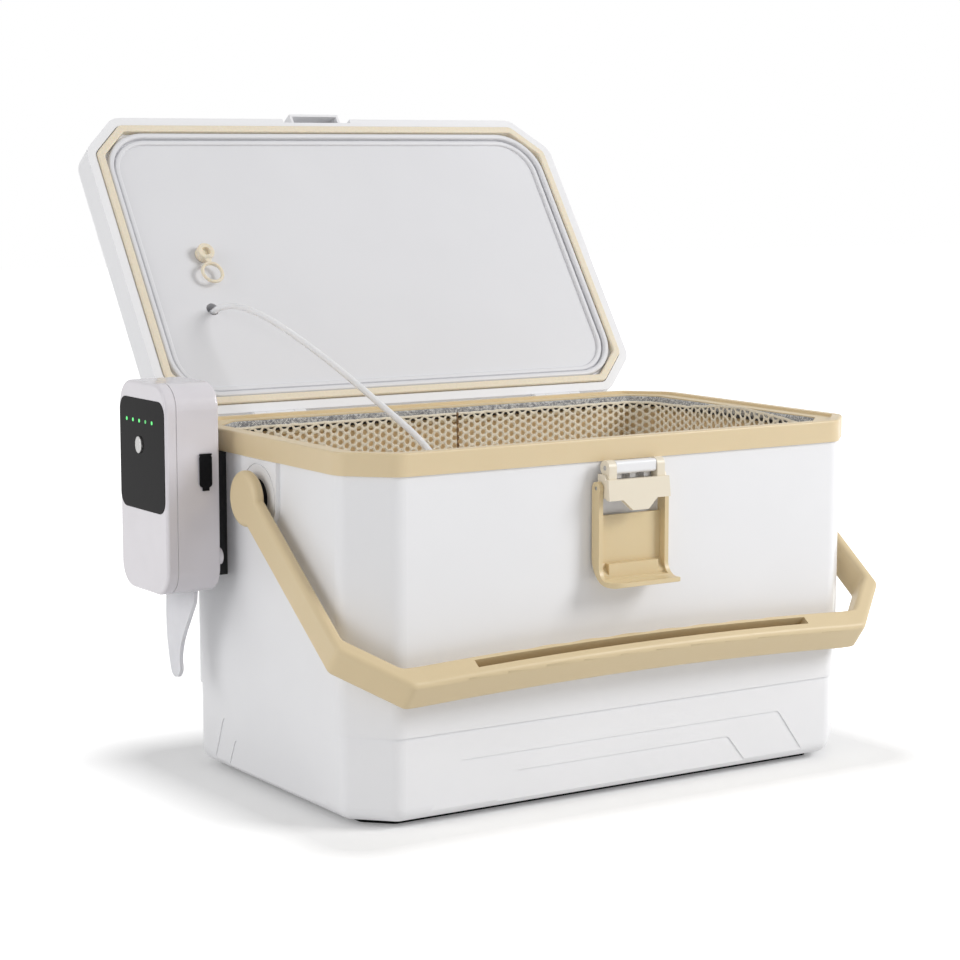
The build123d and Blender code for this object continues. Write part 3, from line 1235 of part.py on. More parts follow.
PIECES = {
    "bucket_shell": make_bucket_shell, "foam_insulation": make_foam_insulation,
    "bucket_liner": make_bucket_liner, "rim_collar": make_rim_collar, "base_pad": make_base_pad,
    "net_band": make_net_band, "net_bag": make_net_bag,
    "hinge_brackets": make_hinge_brackets, "hinge_screws": make_hinge_screws, "hinge_pins": make_hinge_pins,
    "lid_shell": make_lid_shell, "lid_foam": make_lid_foam, "lid_liner": make_lid_liner,
    "lid_gasket": make_lid_gasket, "hole_plug": make_hole_plug,
    "latch_base": make_latch_base, "latch_screws": make_latch_screws, "latch_pin": make_latch_pin,
    "latch_lever": make_latch_lever, "hook_pin": make_hook_pin, "latch_hook": make_latch_hook,
    "carry_handle": make_carry_handle, "pivot_studs": make_pivot_studs, "pivot_washers": make_pivot_washers,
    "pump_rear_case": make_pump_rear_case, "pump_front_cover": make_pump_front_cover,
    "pump_face_panel": make_pump_face_panel, "led_lights": make_led_lights,
    "power_button": make_power_button, "button_spring": make_button_spring,
    "case_seal": make_case_seal, "case_screws": make_case_screws, "control_board": make_control_board,
    "battery_cells": make_battery_cells, "air_motor": make_air_motor, "motor_crank": make_motor_crank,
    "diaphragm": make_diaphragm, "pump_head": make_pump_head, "air_duct": make_air_duct,
    "outlet_nozzle": make_outlet_nozzle, "port_socket": make_port_socket, "port_cover": make_port_cover,
    "pump_clip": make_pump_clip, "clip_pin": make_clip_pin, "clip_spring": make_clip_spring,
    "pump_bracket": make_pump_bracket, "bracket_screws": make_bracket_screws,
    "air_hose": make_air_hose, "air_stone": make_air_stone,
}


def main():
    """Write every piece as its own STEP file."""
    os.makedirs("parts", exist_ok=True)
    for name, make in PIECES.items():
        made = make()
        shape = Compound(children=made) if isinstance(made, list) else made
        export_step(shape, f"parts/{name}.step")


main()
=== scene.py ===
import json
import math
import random

import bpy
from bpy.props import FloatProperty, FloatVectorProperty, IntProperty, PointerProperty
from mathutils import Matrix, Vector
from mathutils.kdtree import KDTree


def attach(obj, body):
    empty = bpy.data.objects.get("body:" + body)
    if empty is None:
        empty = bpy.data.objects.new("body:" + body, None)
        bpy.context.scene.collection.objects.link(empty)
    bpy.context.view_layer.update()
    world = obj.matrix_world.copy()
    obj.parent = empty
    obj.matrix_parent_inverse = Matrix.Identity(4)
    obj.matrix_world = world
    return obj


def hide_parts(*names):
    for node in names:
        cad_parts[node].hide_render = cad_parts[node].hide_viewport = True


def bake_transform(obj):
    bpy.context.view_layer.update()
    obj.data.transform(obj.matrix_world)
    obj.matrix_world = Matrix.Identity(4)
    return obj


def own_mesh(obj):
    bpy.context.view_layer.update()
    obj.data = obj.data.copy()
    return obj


bl_info = {
    "name": "Aerated Bait Bucket",
    "version": (1, 0, 0),
    "blender": (4, 5, 0),
    "location": "View3D > Sidebar > Bucket",
    "description": "Soft pieces, small fittings, finishes and studio of the aerated bait bucket",
    "category": "Object",
}

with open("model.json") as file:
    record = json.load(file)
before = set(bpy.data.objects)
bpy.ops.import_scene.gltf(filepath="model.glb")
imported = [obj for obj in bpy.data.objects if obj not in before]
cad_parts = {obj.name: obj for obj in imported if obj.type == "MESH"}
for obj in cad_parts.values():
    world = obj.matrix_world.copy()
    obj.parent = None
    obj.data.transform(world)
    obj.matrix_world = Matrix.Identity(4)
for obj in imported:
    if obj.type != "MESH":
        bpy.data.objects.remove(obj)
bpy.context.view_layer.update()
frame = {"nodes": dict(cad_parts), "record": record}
MM = 0.001

# ---- Places, in metres, the same as in the part's source ----
RIM_HALF_LENGTH = 0.180
RIM_HALF_WIDTH = 0.112
CORNER_CUT = 0.025
CORNER_BLEND = 0.013
LEAST_BLEND = 0.005
HINGE = Vector((0, 0.116, 0.207))
LID_OPEN = math.radians(124.7)
NET_TOP = 0.2036
NET_FLOOR = 0.0172
NET_TOP_INSET = 0.0187
NET_TAPER = 0.0006
NET_RING_POINTS = 2000  # round the mouth, from which the net's knots pick their places
SEAM_X = 0.012
SEAM_HALF_WIDTH = 0.0009
GATHER_FROM_X = 0.15  # the net is bunched up on the wall past this
GATHER_Y = -0.01
GATHER_HALF_WIDTH = 0.055
GATHER_DEPTH = 0.0034
GATHER_RISE = 0.0052
GATHER_FADE = (0.3, 0.09)  # shares of the net's height over which the depth and the rise fade out
NET_WAVES = ((7, 0.3, 1.3), (17, 0.2, 0.0))  # waves round the mouth, with their share and start
NET_JITTER = 0.0003  # how unevenly the wall's knots stand, up and down
NET_LOOSE = 0.0004  # and in from the wall
NET_FLOOR_LOOSE = 0.0006
NET_FLOOR_CORNER = 0.015  # cut off the net floor's corners
BAND_LOW = 0.2010
BAND_HIGH = 0.2078
BAND_INSET = 0.0170
BAND_RIPPLE = 0.0003
BAND_FLATNESS = 0.55  # below 1, it flattens the sides of the band's section
BAND_PAINTED_SHADE = (0.2031, 0.2038)  # heights between which the painted shade under the net's top row turns to knit
HOSE_ROUTE = (
    (-0.197, 0.104, 0.196), (-0.197, 0.126, 0.196), (-0.191, 0.149, 0.198), (-0.180, 0.173, 0.203),
    (-0.170, 0.196, 0.210), (-0.156, 0.213, 0.220), (-0.141, 0.220, 0.2305), (-0.1295, 0.214, 0.2405),
    (-0.1243, 0.198, 0.251), (-0.124, 0.168, 0.2718), (-0.1195, 0.144, 0.276), (-0.1105, 0.121, 0.269),
    (-0.101, 0.100, 0.2575), (-0.0935, 0.079, 0.246), (-0.0875, 0.055, 0.2335), (-0.0805, 0.029, 0.2185),
    (-0.071, -0.001, 0.200), (-0.063, -0.023, 0.175), (-0.0585, -0.036, 0.147), (-0.058, -0.040, 0.116),
    (-0.060, -0.038, 0.086), (-0.061, -0.031, 0.060), (-0.056, -0.020, 0.038), (-0.038, -0.010, 0.0258),
    (-0.018, -0.010, 0.0258),
)
PLUG_PLACE = Vector((-0.119, -0.007, 0.2132))  # on the closed lid's inner panel
PLUG_RADIUS = 0.0058
PLUG_HEIGHT = 0.0058
PLUG_LIFT = 0.0003  # between the panel and the cup
PLUG_LIP = 0.0008
PLUG_SHOULDER = 0.0022  # from the lip to the hollow
PLUG_HOLLOW = 0.0026
PLUG_HOLLOW_EDGE = 0.0004
PLUG_STEM_RADIUS = 0.0029
PLUG_STEM = 0.0062
PLUG_STEM_RISE = 0.0026  # of the stem's middle over the panel
PLUG_STEM_TIP = (0.0007, 0.0006)  # how far the tip steps in and stands out
PLUG_ROUNDING = {"cup": 0.0004, "stem": 0.0003, "strap": 0.0005}
PLUG_STRAP = (0.0046, 0.0056, 0.0016)
PLUG_STRAP_REACH = 0.0072
PLUG_STRAP_TAPER = 0.55  # width at the ring, as a share of the width at the cup
PLUG_RING_DROP = 0.0053  # from the panel to the ring's middle
PLUG_RING_REACH = 0.0160
PLUG_RING_RADIUS = 0.0068
PLUG_RING_ROOT = 0.0055  # past this from its middle, the ring is the thicker root at the strap
PLUG_RING_ROOT_GROWTH = 1.35
SPRING_STEPS = 20
BUTTON_SPRING = {"radius": 0.0024, "reach": 0.0057}
BUTTON_SPRING_END = Vector((-0.2217, 0.064, 0.202))
CLIP_SPRING = {"radius": 0.0026, "reach": 0.011}
CLIP_SPRING_END = Vector((-0.200, 0.0555, 0.130))
CLIP_SPRING_WIRE = 1.5  # times the button spring's wire
FOURTH_LIGHT_Y = 0.0556
LIGHT_HALF_GAP = 0.004

# ---- Studio ----
CAMERA_SPOT = (-0.8449, -1.2600, 0.3734)
CAMERA_TARGET = (-0.03076, 0, 0.174324)
CAMERA_LENS = 93.95
LAMP_TARGET = (0, 0, 0.15)
LAMPS = (  # name, place, side and watts
    ("key", (1.6, -1.5, 1.35), 1.0, 35),
    ("fill", (-2.4, -0.1, 1.0), 1.6, 18),
)
FLOOR_SIDE = 12
FLOOR_DROP = 0.0002  # the paper lies this far under the base pad
PAINTED_SHADOW_REACH = (0.02, 0.095)  # from the tub's sides, over which the painted shadow round the base fades and the paper turns white
PAINTED_SHADOW_LIFT = (0.13, 0.85)  # light that the paper adds near the tub, low there as a painted shadow, and far from it
SKY_LIGHT = 0.48


def linear(code):
    """Colour of an sRGB hex code, as linear values with full opacity."""
    parts = [int(code[i:i + 2], 16) / 255 for i in (0, 2, 4)]
    return [c / 12.92 if c <= 0.04045 else ((c + 0.055) / 1.055) ** 2.4 for c in parts] + [1.0]


# ---- Values that a user would change ----
def colour(name, code, description):
    return FloatVectorProperty(
        name=name, description=description, default=linear(code), min=0, max=1, subtype="COLOR",
        size=4)


def length(name, metres, description):
    return FloatProperty(
        name=name, description=description, default=metres, min=metres / 4, max=metres * 4,
        subtype="DISTANCE", unit="LENGTH", precision=5)


class BucketColours(bpy.types.PropertyGroup):
    """Main colours of the bucket and its pump."""

    shell: colour("Tub and lid", "ECECEE", "White polypropylene of the tub and the lid")
    panel: colour("Lid panel", "DEDEE1", "White polypropylene of the lid's inner panel")
    collar: colour("Collar", "DCC8A2", "Beige polypropylene of the collar")
    handle: colour("Handle", "D9C59E", "Beige polypropylene of the carrying handle")
    hook: colour("Latch hook", "D9C59C", "Beige polypropylene of the latch's hook")
    lever: colour("Latch lever", "E6DCC8", "Cream polypropylene of the latch's lever")
    liner: colour("Inner tub", "FDE4B8", "Beige polypropylene of the inner tub")
    seal: colour("Seal and plug", "E9DEC8", "Silicone of the lid's seal and the hole plug")
    pump: colour("Pump case", "DDD9DE", "Glossy ABS of the pump's case")
    band: colour("Knitted band", "8C8D91", "Dark fibre of the band that holds the net")
    net: colour("Net", "FFF4DE", "Polyester yarn of the net bag")
    hose: colour("Air hose", "F1F1F3", "Silicone of the air hose")


class BucketSizes(bpy.types.PropertyGroup):
    """Sizes of the soft pieces and small fittings."""

    hose_diameter: length("Hose diameter", 0.004, "Outside diameter of the air hose")
    net_cell: length("Net cell", 0.0051, "Distance between the flats of one hexagon of the net")
    net_yarn: length("Net strand width", 0.0022, "Width of the net's flat strands")
    net_depth: length("Net strand thickness", 0.0013, "Thickness of the net's flat strands")
    net_sag: length("Net sag", 0.0030, "How far the net hangs in from the inner tub's wall")
    band_wall: length("Band thickness", 0.0016, "Thickness of the knitted band")
    ring_wire: length("Ring thickness", 0.0022, "Thickness of the plug's pull ring")
    spring_wire: length("Spring wire", 0.0004, "Diameter of the spring wire")
    spring_turns: IntProperty(
        name="Spring turns", description="Turns of the springs behind the button and the clip",
        default=6, min=3, max=12)


# ---- Modelling helpers ----
def choose(piece):
    """Selects only this piece and makes it the active one."""
    bpy.ops.object.select_all(action="DESELECT")
    piece.select_set(True)
    bpy.context.view_layer.objects.active = piece


def modify(piece, kind, **settings):
    """Adds one modifier and applies it."""
    choose(piece)
    modifier = piece.modifiers.new(kind.title(), kind)
    for name, value in settings.items():
        setattr(modifier, name, value)
    bpy.ops.object.modifier_apply(modifier=modifier.name)


def pick_faces(piece, test):
    """Enters edit mode with just the faces selected whose centre and normal pass the test."""
    choose(piece)
    bpy.ops.object.mode_set(mode="EDIT")
    bpy.ops.mesh.select_mode(type="FACE")
    bpy.ops.mesh.select_all(action="DESELECT")
    bpy.ops.object.mode_set(mode="OBJECT")
    for face in piece.data.polygons:
        face.select = test(face.center, face.normal)
    bpy.ops.object.mode_set(mode="EDIT")


def leave_edit():
    bpy.ops.object.mode_set(mode="OBJECT")


def from_points(name, points, faces):
    """New mesh object from its points and faces."""
    mesh = bpy.data.meshes.new(name)
    mesh.from_pydata(points, [], faces)
    mesh.update()
    piece = bpy.data.objects.new(name, mesh)
    bpy.context.scene.collection.objects.link(piece)
    return piece


def join(name, pieces):
    """Makes several objects one piece."""
    choose(pieces[0])
    for piece in pieces[1:]:
        piece.select_set(True)
    bpy.ops.object.join()
    pieces[0].name = name
    return pieces[0]


def finish(piece, name, slot, angle=40):
    """Puts the piece's place in its mesh, shades it, and gives it its name, finish and slot."""
    choose(piece)
    bpy.ops.object.transform_apply(location=True, rotation=True, scale=True)
    bpy.ops.object.shade_smooth_by_angle(angle=math.radians(angle))
    piece.name = name
    piece.data.name = name
    piece.data.materials.clear()
    piece.data.materials.append(finish_of(slot))
    return piece


def aim(spot, target):
    """Turn of a camera or lamp at a spot that looks at a target."""
    return (Vector(target) - Vector(spot)).to_track_quat("-Z", "Y").to_euler()


def lid_pose():
    """Turns what is drawn on the closed lid to the open lid."""
    turn = Matrix.Rotation(-LID_OPEN, 4, "X")
    return Matrix.Translation(HINGE) @ turn @ Matrix.Translation(-HINGE)


# ---- Outline of the tub's mouth ----
def corners(inset):
    """Corners of the mouth's outline, from the back right corner round past the front."""
    x, y = RIM_HALF_LENGTH - inset, RIM_HALF_WIDTH - inset
    cut = CORNER_CUT - (2 - math.sqrt(2)) * inset
    return [Vector(p) for p in (
        (x - cut, y), (x, y - cut), (x, cut - y), (x - cut, -y),
        (cut - x, -y), (-x, cut - y), (-x, y - cut), (cut - x, y))]


def blended(points, radius, steps=8):
    """Points along a closed outline with its corners blended by arcs."""
    line = []
    for i, corner in enumerate(points):
        before = (points[i - 1] - corner).normalized()
        after = (points[(i + 1) % len(points)] - corner).normalized()
        half = before.angle(after) / 2
        reach = radius / math.tan(half)
        middle = corner + (before + after).normalized() * radius / math.sin(half)
        start = corner + before * reach - middle
        turn = start.angle_signed(corner + after * reach - middle)
        for step in range(steps + 1):
            line.append(middle + Matrix.Rotation(-turn * step / steps, 2) @ start)
    return line


def outline(inset, count):
    """Evenly spaced points round the mouth, each with its inward direction, from the net's seam."""
    line = blended(corners(inset), max(CORNER_BLEND - inset, LEAST_BLEND))
    seam = Vector((SEAM_X, RIM_HALF_WIDTH - inset))
    line = [seam] + line + [seam]
    reach = [0.0]
    for a, b in zip(line, line[1:]):
        reach.append(reach[-1] + (b - a).length)
    places, leg = [], 0
    for i in range(count):
        at = reach[-1] * i / count
        while reach[leg + 1] < at:
            leg += 1
        a, b = line[leg], line[leg + 1]
        share = (at - reach[leg]) / max(reach[leg + 1] - reach[leg], 1e-9)
        along = (b - a).normalized()
        places.append((a.lerp(b, share), Vector((along.y, -along.x))))
    return places, reach[-1]


# ---- Node helper ----
def add(tree, kind, values=(), links=(), **own):
    """Adds one node with its own settings, its sockets' values and its links."""
    node = tree.nodes.new("ShaderNode" + kind)
    for name, value in own.items():
        setattr(node, name, value)
    for socket, value in dict(values).items():
        node.inputs[socket].default_value = value
    for socket, source in dict(links).items():
        tree.links.new(source, node.inputs[socket])
    return node


def start(name, tint, roughness, **sockets):
    """New material with its shader's constant values set, and the place that patterns read."""
    material = bpy.data.materials.new(name)
    material.use_nodes = True
    tree = material.node_tree
    shader = tree.nodes["Principled BSDF"]
    shader.inputs["Base Color"].default_value = tint
    shader.inputs["Roughness"].default_value = roughness
    for socket, value in sockets.items():
        shader.inputs[socket.replace("_", " ")].default_value = value
    return material, tree, shader, place(tree)


def place(tree):
    """Object coordinates, in metres, as the pieces' places are in their meshes."""
    return add(tree, "TexCoord").outputs["Object"]


def speckle(tree, where, size_mm, detail=3.0, roughness=0.5):
    """Noise whose spots are about this many millimetres across."""
    return add(
        tree, "TexNoise", {"Scale": 1000 / size_mm, "Detail": detail, "Roughness": roughness},
        {"Vector": where}).outputs["Fac"]


def mix(tree, share, *tints):
    """Mixes two tints, each a colour or a socket, by a share from 0 to 1."""
    node = add(tree, "Mix", links={"Factor": share}, data_type="RGBA")
    for socket, tint in zip((node.inputs[6], node.inputs[7]), tints):
        if isinstance(tint, bpy.types.NodeSocket):
            tree.links.new(tint, socket)
        else:
            socket.default_value = tint
    return node.outputs[2]


def seen_plainly(tree):
    """1 for what the camera, a mirror or a clear piece sees, and 0 for light on its way."""
    seen = add(tree, "LightPath").outputs
    either = seen["Is Camera Ray"]
    for kind in ("Is Glossy Ray", "Is Transmission Ray"):
        either = add(tree, "Math", links={0: either, 1: seen[kind]}, operation="MAXIMUM").outputs[0]
    return either


def tone(tree, shader, fac, tint, darker, low=0.35, high=0.65):
    """Base colour that runs between two tones with a pattern."""
    spread = add(tree, "MapRange", {"From Min": low, "From Max": high}, {"Value": fac})
    mixed = mix(tree, spread.outputs["Result"], tint, darker)
    tree.links.new(mixed, shader.inputs["Base Color"])
    return mixed


def shine(tree, shader, fac, low, high):
    """Roughness that runs between two values with a pattern."""
    spread = add(
        tree, "MapRange", {"From Min": 0.3, "From Max": 0.7, "To Min": low, "To Max": high},
        {"Value": fac})
    tree.links.new(spread.outputs["Result"], shader.inputs["Roughness"])


def relief(tree, shader, layers):
    """Bumps from (height, depth in mm) layers, one over the other."""
    normal = None
    for height, depth_mm in layers:
        links = {"Height": height}
        if normal:
            links["Normal"] = normal
        bump = add(tree, "Bump", {"Strength": 1.0, "Distance": depth_mm * MM}, links)
        normal = bump.outputs["Normal"]
    tree.links.new(normal, shader.inputs["Normal"])


def shade(tint, share):
    """The same colour, darker or lighter by a share."""
    return [min(c * share, 1.0) for c in tint[:3]] + [1.0]


def moulded(name, tint, roughness, grain_mm, depth_mm, **sockets):
    """Injection-moulded plastic: a fine eroded grain, with slow changes in tone and shine."""
    material, tree, shader, where = start(name, tint, roughness, **sockets)
    cloud = speckle(tree, where, 70, 2.0)
    rub = speckle(tree, where, 9, 4.0, 0.6)
    tone(tree, shader, cloud, tint, shade(tint, 0.98))
    shine(tree, shader, rub, roughness - 0.05, roughness + 0.07)
    relief(tree, shader, [(cloud, 0.12), (speckle(tree, where, grain_mm, 2.0), depth_mm)])
    return material


# ---- Finishes ----
def tints():
    return bpy.context.scene.bucket_colours


def white_polypropylene():
    # Thick moulded wall: satin, a fine eroded grain, and slow waves where the wall sank in cooling.
    return moulded("polypropylene_moulded_white", tints().shell[:], 0.36, 0.9, 0.012, IOR=1.49)


def panel_polypropylene():
    # The lid's inner moulding is a shade greyer and drier than its cover.
    return moulded("polypropylene_panel_white", tints().panel[:], 0.45, 0.9, 0.012, IOR=1.49)


def collar_polypropylene():
    # Dyed moulding with a soft satin face, a little shinier than the tub.
    return moulded(
        "polypropylene_moulded_beige", tints().collar[:], 0.38, 0.8, 0.012, IOR=1.49,
        Subsurface_Weight=0.06, Subsurface_Radius=(0.8, 0.5, 0.3), Subsurface_Scale=0.002)


def handle_polypropylene():
    # Glass-filled moulding, so its grain is a little coarser and drier.
    return moulded("polypropylene_filled_beige", tints().handle[:], 0.42, 1.1, 0.016, IOR=1.49)


def hook_polypropylene():
    # Small springy moulding with a smooth, slightly waxy face.
    return moulded(
        "polypropylene_hook_beige", tints().hook[:], 0.33, 0.7, 0.008, IOR=1.49,
        Subsurface_Weight=0.08, Subsurface_Radius=(0.8, 0.5, 0.3), Subsurface_Scale=0.002)


def lever_polypropylene():
    # Paler than the hook, as it is dyed less.
    return moulded("polypropylene_lever_cream", tints().lever[:], 0.33, 0.7, 0.008, IOR=1.49)


def liner_polypropylene():
    # Blown inner tub: matt, with long soft flow waves down its walls.
    material, tree, shader, where = start("polypropylene_blown_beige", tints().liner[:], 0.52, IOR=1.49)
    flow = add(tree, "Mapping", {"Scale": (1, 1, 0.15)}, {"Vector": where}).outputs["Vector"]
    wave = speckle(tree, flow, 14, 3.0)
    tone(tree, shader, wave, tints().liner[:], shade(tints().liner[:], 0.93))
    relief(tree, shader, [(wave, 0.1), (speckle(tree, where, 0.8, 2.0), 0.02)])
    return material


def silicone():
    # Cast silicone: rubbery, almost matt, light soaks in a little and dust clings to it.
    tint = tints().seal[:]
    material, tree, shader, where = start(
        "silicone_cast_beige", tint, 0.5, IOR=1.41, Subsurface_Weight=0.18,
        Subsurface_Radius=(0.9, 0.6, 0.35), Subsurface_Scale=0.002)
    dust = speckle(tree, where, 1.6, 5.0, 0.65)
    tone(tree, shader, dust, tint, shade(tint, 0.93))
    shine(tree, shader, dust, 0.44, 0.62)
    relief(tree, shader, [(speckle(tree, where, 6, 2.0), 0.06), (dust, 0.012)])
    return material


def foam():
    # Foamed-in-place polyurethane: closed cells of about 2 mm under a pale skin.
    tint = linear("E9DFC0")
    material, tree, shader, where = start("polyurethane_foam", tint, 0.9)
    cells = add(tree, "TexVoronoi", {"Scale": 0.5 / MM}, {"Vector": where}).outputs["Distance"]
    tone(tree, shader, cells, tint, linear("CDBD92"), 0.2, 0.8)
    relief(tree, shader, [(cells, 0.5), (speckle(tree, where, 12), 0.6)])
    return material


def black_rubber():
    # Pressed EPDM: deep matt black with a leathery grain and grey dust in it.
    tint = linear("101012")
    material, tree, shader, where = start("epdm_rubber_black", tint, 0.66, Specular_IOR_Level=0.08)
    dust = speckle(tree, where, 2.2, 6.0, 0.7)
    tone(tree, shader, dust, tint, linear("1B1C1E"), 0.45, 0.75)
    shine(tree, shader, dust, 0.55, 0.8)
    relief(tree, shader, [(speckle(tree, where, 0.7, 3.0), 0.04)])
    return material


def black_nylon():
    # Moulded nylon bracket: dry black with a light sparkle from its glass filling.
    tint = linear("17181A")
    material, tree, shader, where = start("nylon_moulded_black", tint, 0.5, Specular_IOR_Level=0.3)
    glass = speckle(tree, where, 0.5, 2.0)
    tone(tree, shader, glass, tint, linear("242527"), 0.5, 0.8)
    shine(tree, shader, speckle(tree, where, 8), 0.42, 0.58)
    relief(tree, shader, [(glass, 0.02)])
    return material


def white_rubber():
    # Thermoplastic rubber: white, matt and faintly dusty.
    tint = linear("E6E5E4")
    material, tree, shader, where = start(
        "thermoplastic_rubber_white", tint, 0.6, IOR=1.5, Subsurface_Weight=0.1,
        Subsurface_Radius=(0.8, 0.7, 0.6), Subsurface_Scale=0.001)
    dust = speckle(tree, where, 2.0, 5.0, 0.6)
    tone(tree, shader, dust, tint, shade(tint, 0.94))
    relief(tree, shader, [(dust, 0.02)])
    return material


def glossy_abs():
    # Polished-mould ABS: piano-like gloss with the slight ripple of a thin wall.
    tint = tints().pump[:]
    material, tree, shader, where = start(
        "abs_polished_white", tint, 0.16, IOR=1.53, Coat_Weight=0.35, Coat_Roughness=0.05)
    ripple = speckle(tree, where, 22, 1.0)
    haze = speckle(tree, where, 5, 5.0, 0.6)
    tone(tree, shader, ripple, tint, shade(tint, 0.97))
    shine(tree, shader, haze, 0.12, 0.22)
    relief(tree, shader, [(ripple, 0.05)])
    return material


def black_acrylic():
    # Back-printed acrylic window with an antiglare skin: deep black, with faint wiping marks.
    tint = linear("141314")
    material, tree, shader, where = start("acrylic_black", tint, 0.12, Specular_IOR_Level=0.04)
    wiped = add(
        tree, "Mapping", {"Scale": (1, 1, 0.2), "Rotation": (0.5, 0, 0)}, {"Vector": where})
    marks = speckle(tree, wiped.outputs["Vector"], 3.0, 6.0, 0.7)
    tone(tree, shader, marks, tint, linear("1A191A"))
    shine(tree, shader, marks, 0.08, 0.2)
    relief(tree, shader, [(speckle(tree, where, 30, 1.0), 0.03)])
    return material


def green_light():
    # Light pipes over green lamps; the fourth one glows weakly.
    tint = linear("49D66A")
    material, tree, shader, where = start(
        "acrylic_light_pipe_green", tint, 0.2, IOR=1.49, Emission_Color=linear("5CF07C"))
    across = add(tree, "SeparateXYZ", links={"Vector": where}).outputs["Y"]
    fourth = add(
        tree, "Math", {1: FOURTH_LIGHT_Y, 2: LIGHT_HALF_GAP}, {0: across},
        operation="COMPARE").outputs["Value"]
    glow = add(tree, "MapRange", {"To Min": 0.6, "To Max": 0.1}, {"Value": fourth})
    tree.links.new(glow.outputs["Result"], shader.inputs["Emission Strength"])
    grain = speckle(tree, where, 0.8, 2.0)
    tone(tree, shader, grain, tint, shade(tint, 0.8))
    return material


def steel():
    # Turned stainless steel: grey mirror broken by fine rings from the lathe.
    tint = linear("C9C8C6")
    material, tree, shader, where = start("stainless_steel_turned", tint, 0.3, Metallic=1.0)
    rings = speckle(tree, where, 0.5, 4.0, 0.7)
    tone(tree, shader, speckle(tree, where, 6), tint, shade(tint, 0.85))
    shine(tree, shader, rings, 0.22, 0.4)
    relief(tree, shader, [(rings, 0.01)])
    return material


def brushed_aluminium():
    # Brushed along its length and anodised, so its highlight smears sideways.
    tint = linear("BFBEBD")
    material, tree, shader, where = start(
        "anodised_aluminium_brushed", tint, 0.35, Metallic=1.0, Anisotropic=0.5)
    lines = add(tree, "Mapping", {"Scale": (1, 1, 0.05)}, {"Vector": where}).outputs["Vector"]
    brush = speckle(tree, lines, 0.3, 4.0, 0.7)
    tone(tree, shader, brush, tint, shade(tint, 0.82))
    shine(tree, shader, brush, 0.28, 0.45)
    relief(tree, shader, [(brush, 0.01)])
    return material


def circuit_board():
    # Glass-epoxy board under green lacquer: tracks 1 mm apart stand up a little under the gloss.
    tint = linear("1E6A3C")
    material, tree, shader, where = start("glass_epoxy_green", tint, 0.28, IOR=1.5, Coat_Weight=0.4)
    tracks = add(
        tree, "TexBrick", {"Scale": 0.26 / MM, "Mortar Size": 0.03, "Color1": (0, 0, 0, 1),
                           "Color2": (0.1, 0.1, 0.1, 1), "Mortar": (1, 1, 1, 1)},
        {"Vector": where}).outputs["Fac"]
    tone(tree, shader, tracks, tint, linear("3B8C58"), 0, 1)
    relief(tree, shader, [(tracks, 0.04)])
    return material


def cell_sleeve():
    # Shrunk PVC sleeve: bright plastic film with faint cling wrinkles round the cell.
    tint = linear("2C62B4")
    material, tree, shader, where = start("pvc_shrink_film_blue", tint, 0.22, IOR=1.53, Coat_Weight=0.3)
    cling = add(tree, "Mapping", {"Scale": (1, 1, 0.3)}, {"Vector": where}).outputs["Vector"]
    wrinkles = speckle(tree, cling, 3.0, 3.0)
    tone(tree, shader, wrinkles, tint, shade(tint, 0.88))
    relief(tree, shader, [(wrinkles, 0.05)])
    return material


def hose_silicone():
    # Extruded silicone: milky and soft, light spreads inside it, and its skin has a dull gleam.
    tint = tints().hose[:]
    material, tree, shader, where = start(
        "silicone_extruded_clear", tint, 0.34, IOR=1.41, Transmission_Weight=0.06,
        Subsurface_Weight=0.4, Subsurface_Radius=(1.0, 0.95, 0.9), Subsurface_Scale=0.003)
    dust = speckle(tree, where, 1.5, 5.0, 0.6)
    tone(tree, shader, dust, tint, shade(tint, 0.96))
    shine(tree, shader, dust, 0.24, 0.42)
    relief(tree, shader, [(speckle(tree, where, 9, 1.0), 0.05)])
    return material


def air_stone_grit():
    # Fused aluminium oxide: coarse grey grains, drawn about 0.8 mm apart so that they show, with
    # pores between.
    tint = linear("8F9193")
    material, tree, shader, where = start("aluminium_oxide_fused", tint, 0.92)
    grit = add(tree, "TexVoronoi", {"Scale": 1.2 / MM}, {"Vector": where}).outputs["Distance"]
    # The grains keep the stone's grey; the dark round them is painted shade in the pores.
    tone(tree, shader, grit, linear("A9ABAC"), linear("55585B"), 0.1, 0.8)
    relief(tree, shader, [(grit, 0.35), (speckle(tree, where, 3), 0.2)])
    return material


def frosted_clip():
    # Moulded translucent polypropylene: milky, brighter where it is thin, eroded on both faces.
    tint = linear("EFEFF3")
    material, tree, shader, where = start(
        "polypropylene_translucent", tint, 0.34, IOR=1.49, Transmission_Weight=0.14,
        Subsurface_Weight=0.3, Subsurface_Radius=(1.0, 0.95, 0.9), Subsurface_Scale=0.002)
    cloud = speckle(tree, where, 18, 3.0)
    tone(tree, shader, cloud, tint, shade(tint, 0.94))
    shine(tree, shader, speckle(tree, where, 4), 0.28, 0.44)
    relief(tree, shader, [(speckle(tree, where, 0.8, 2.0), 0.015)])
    return material


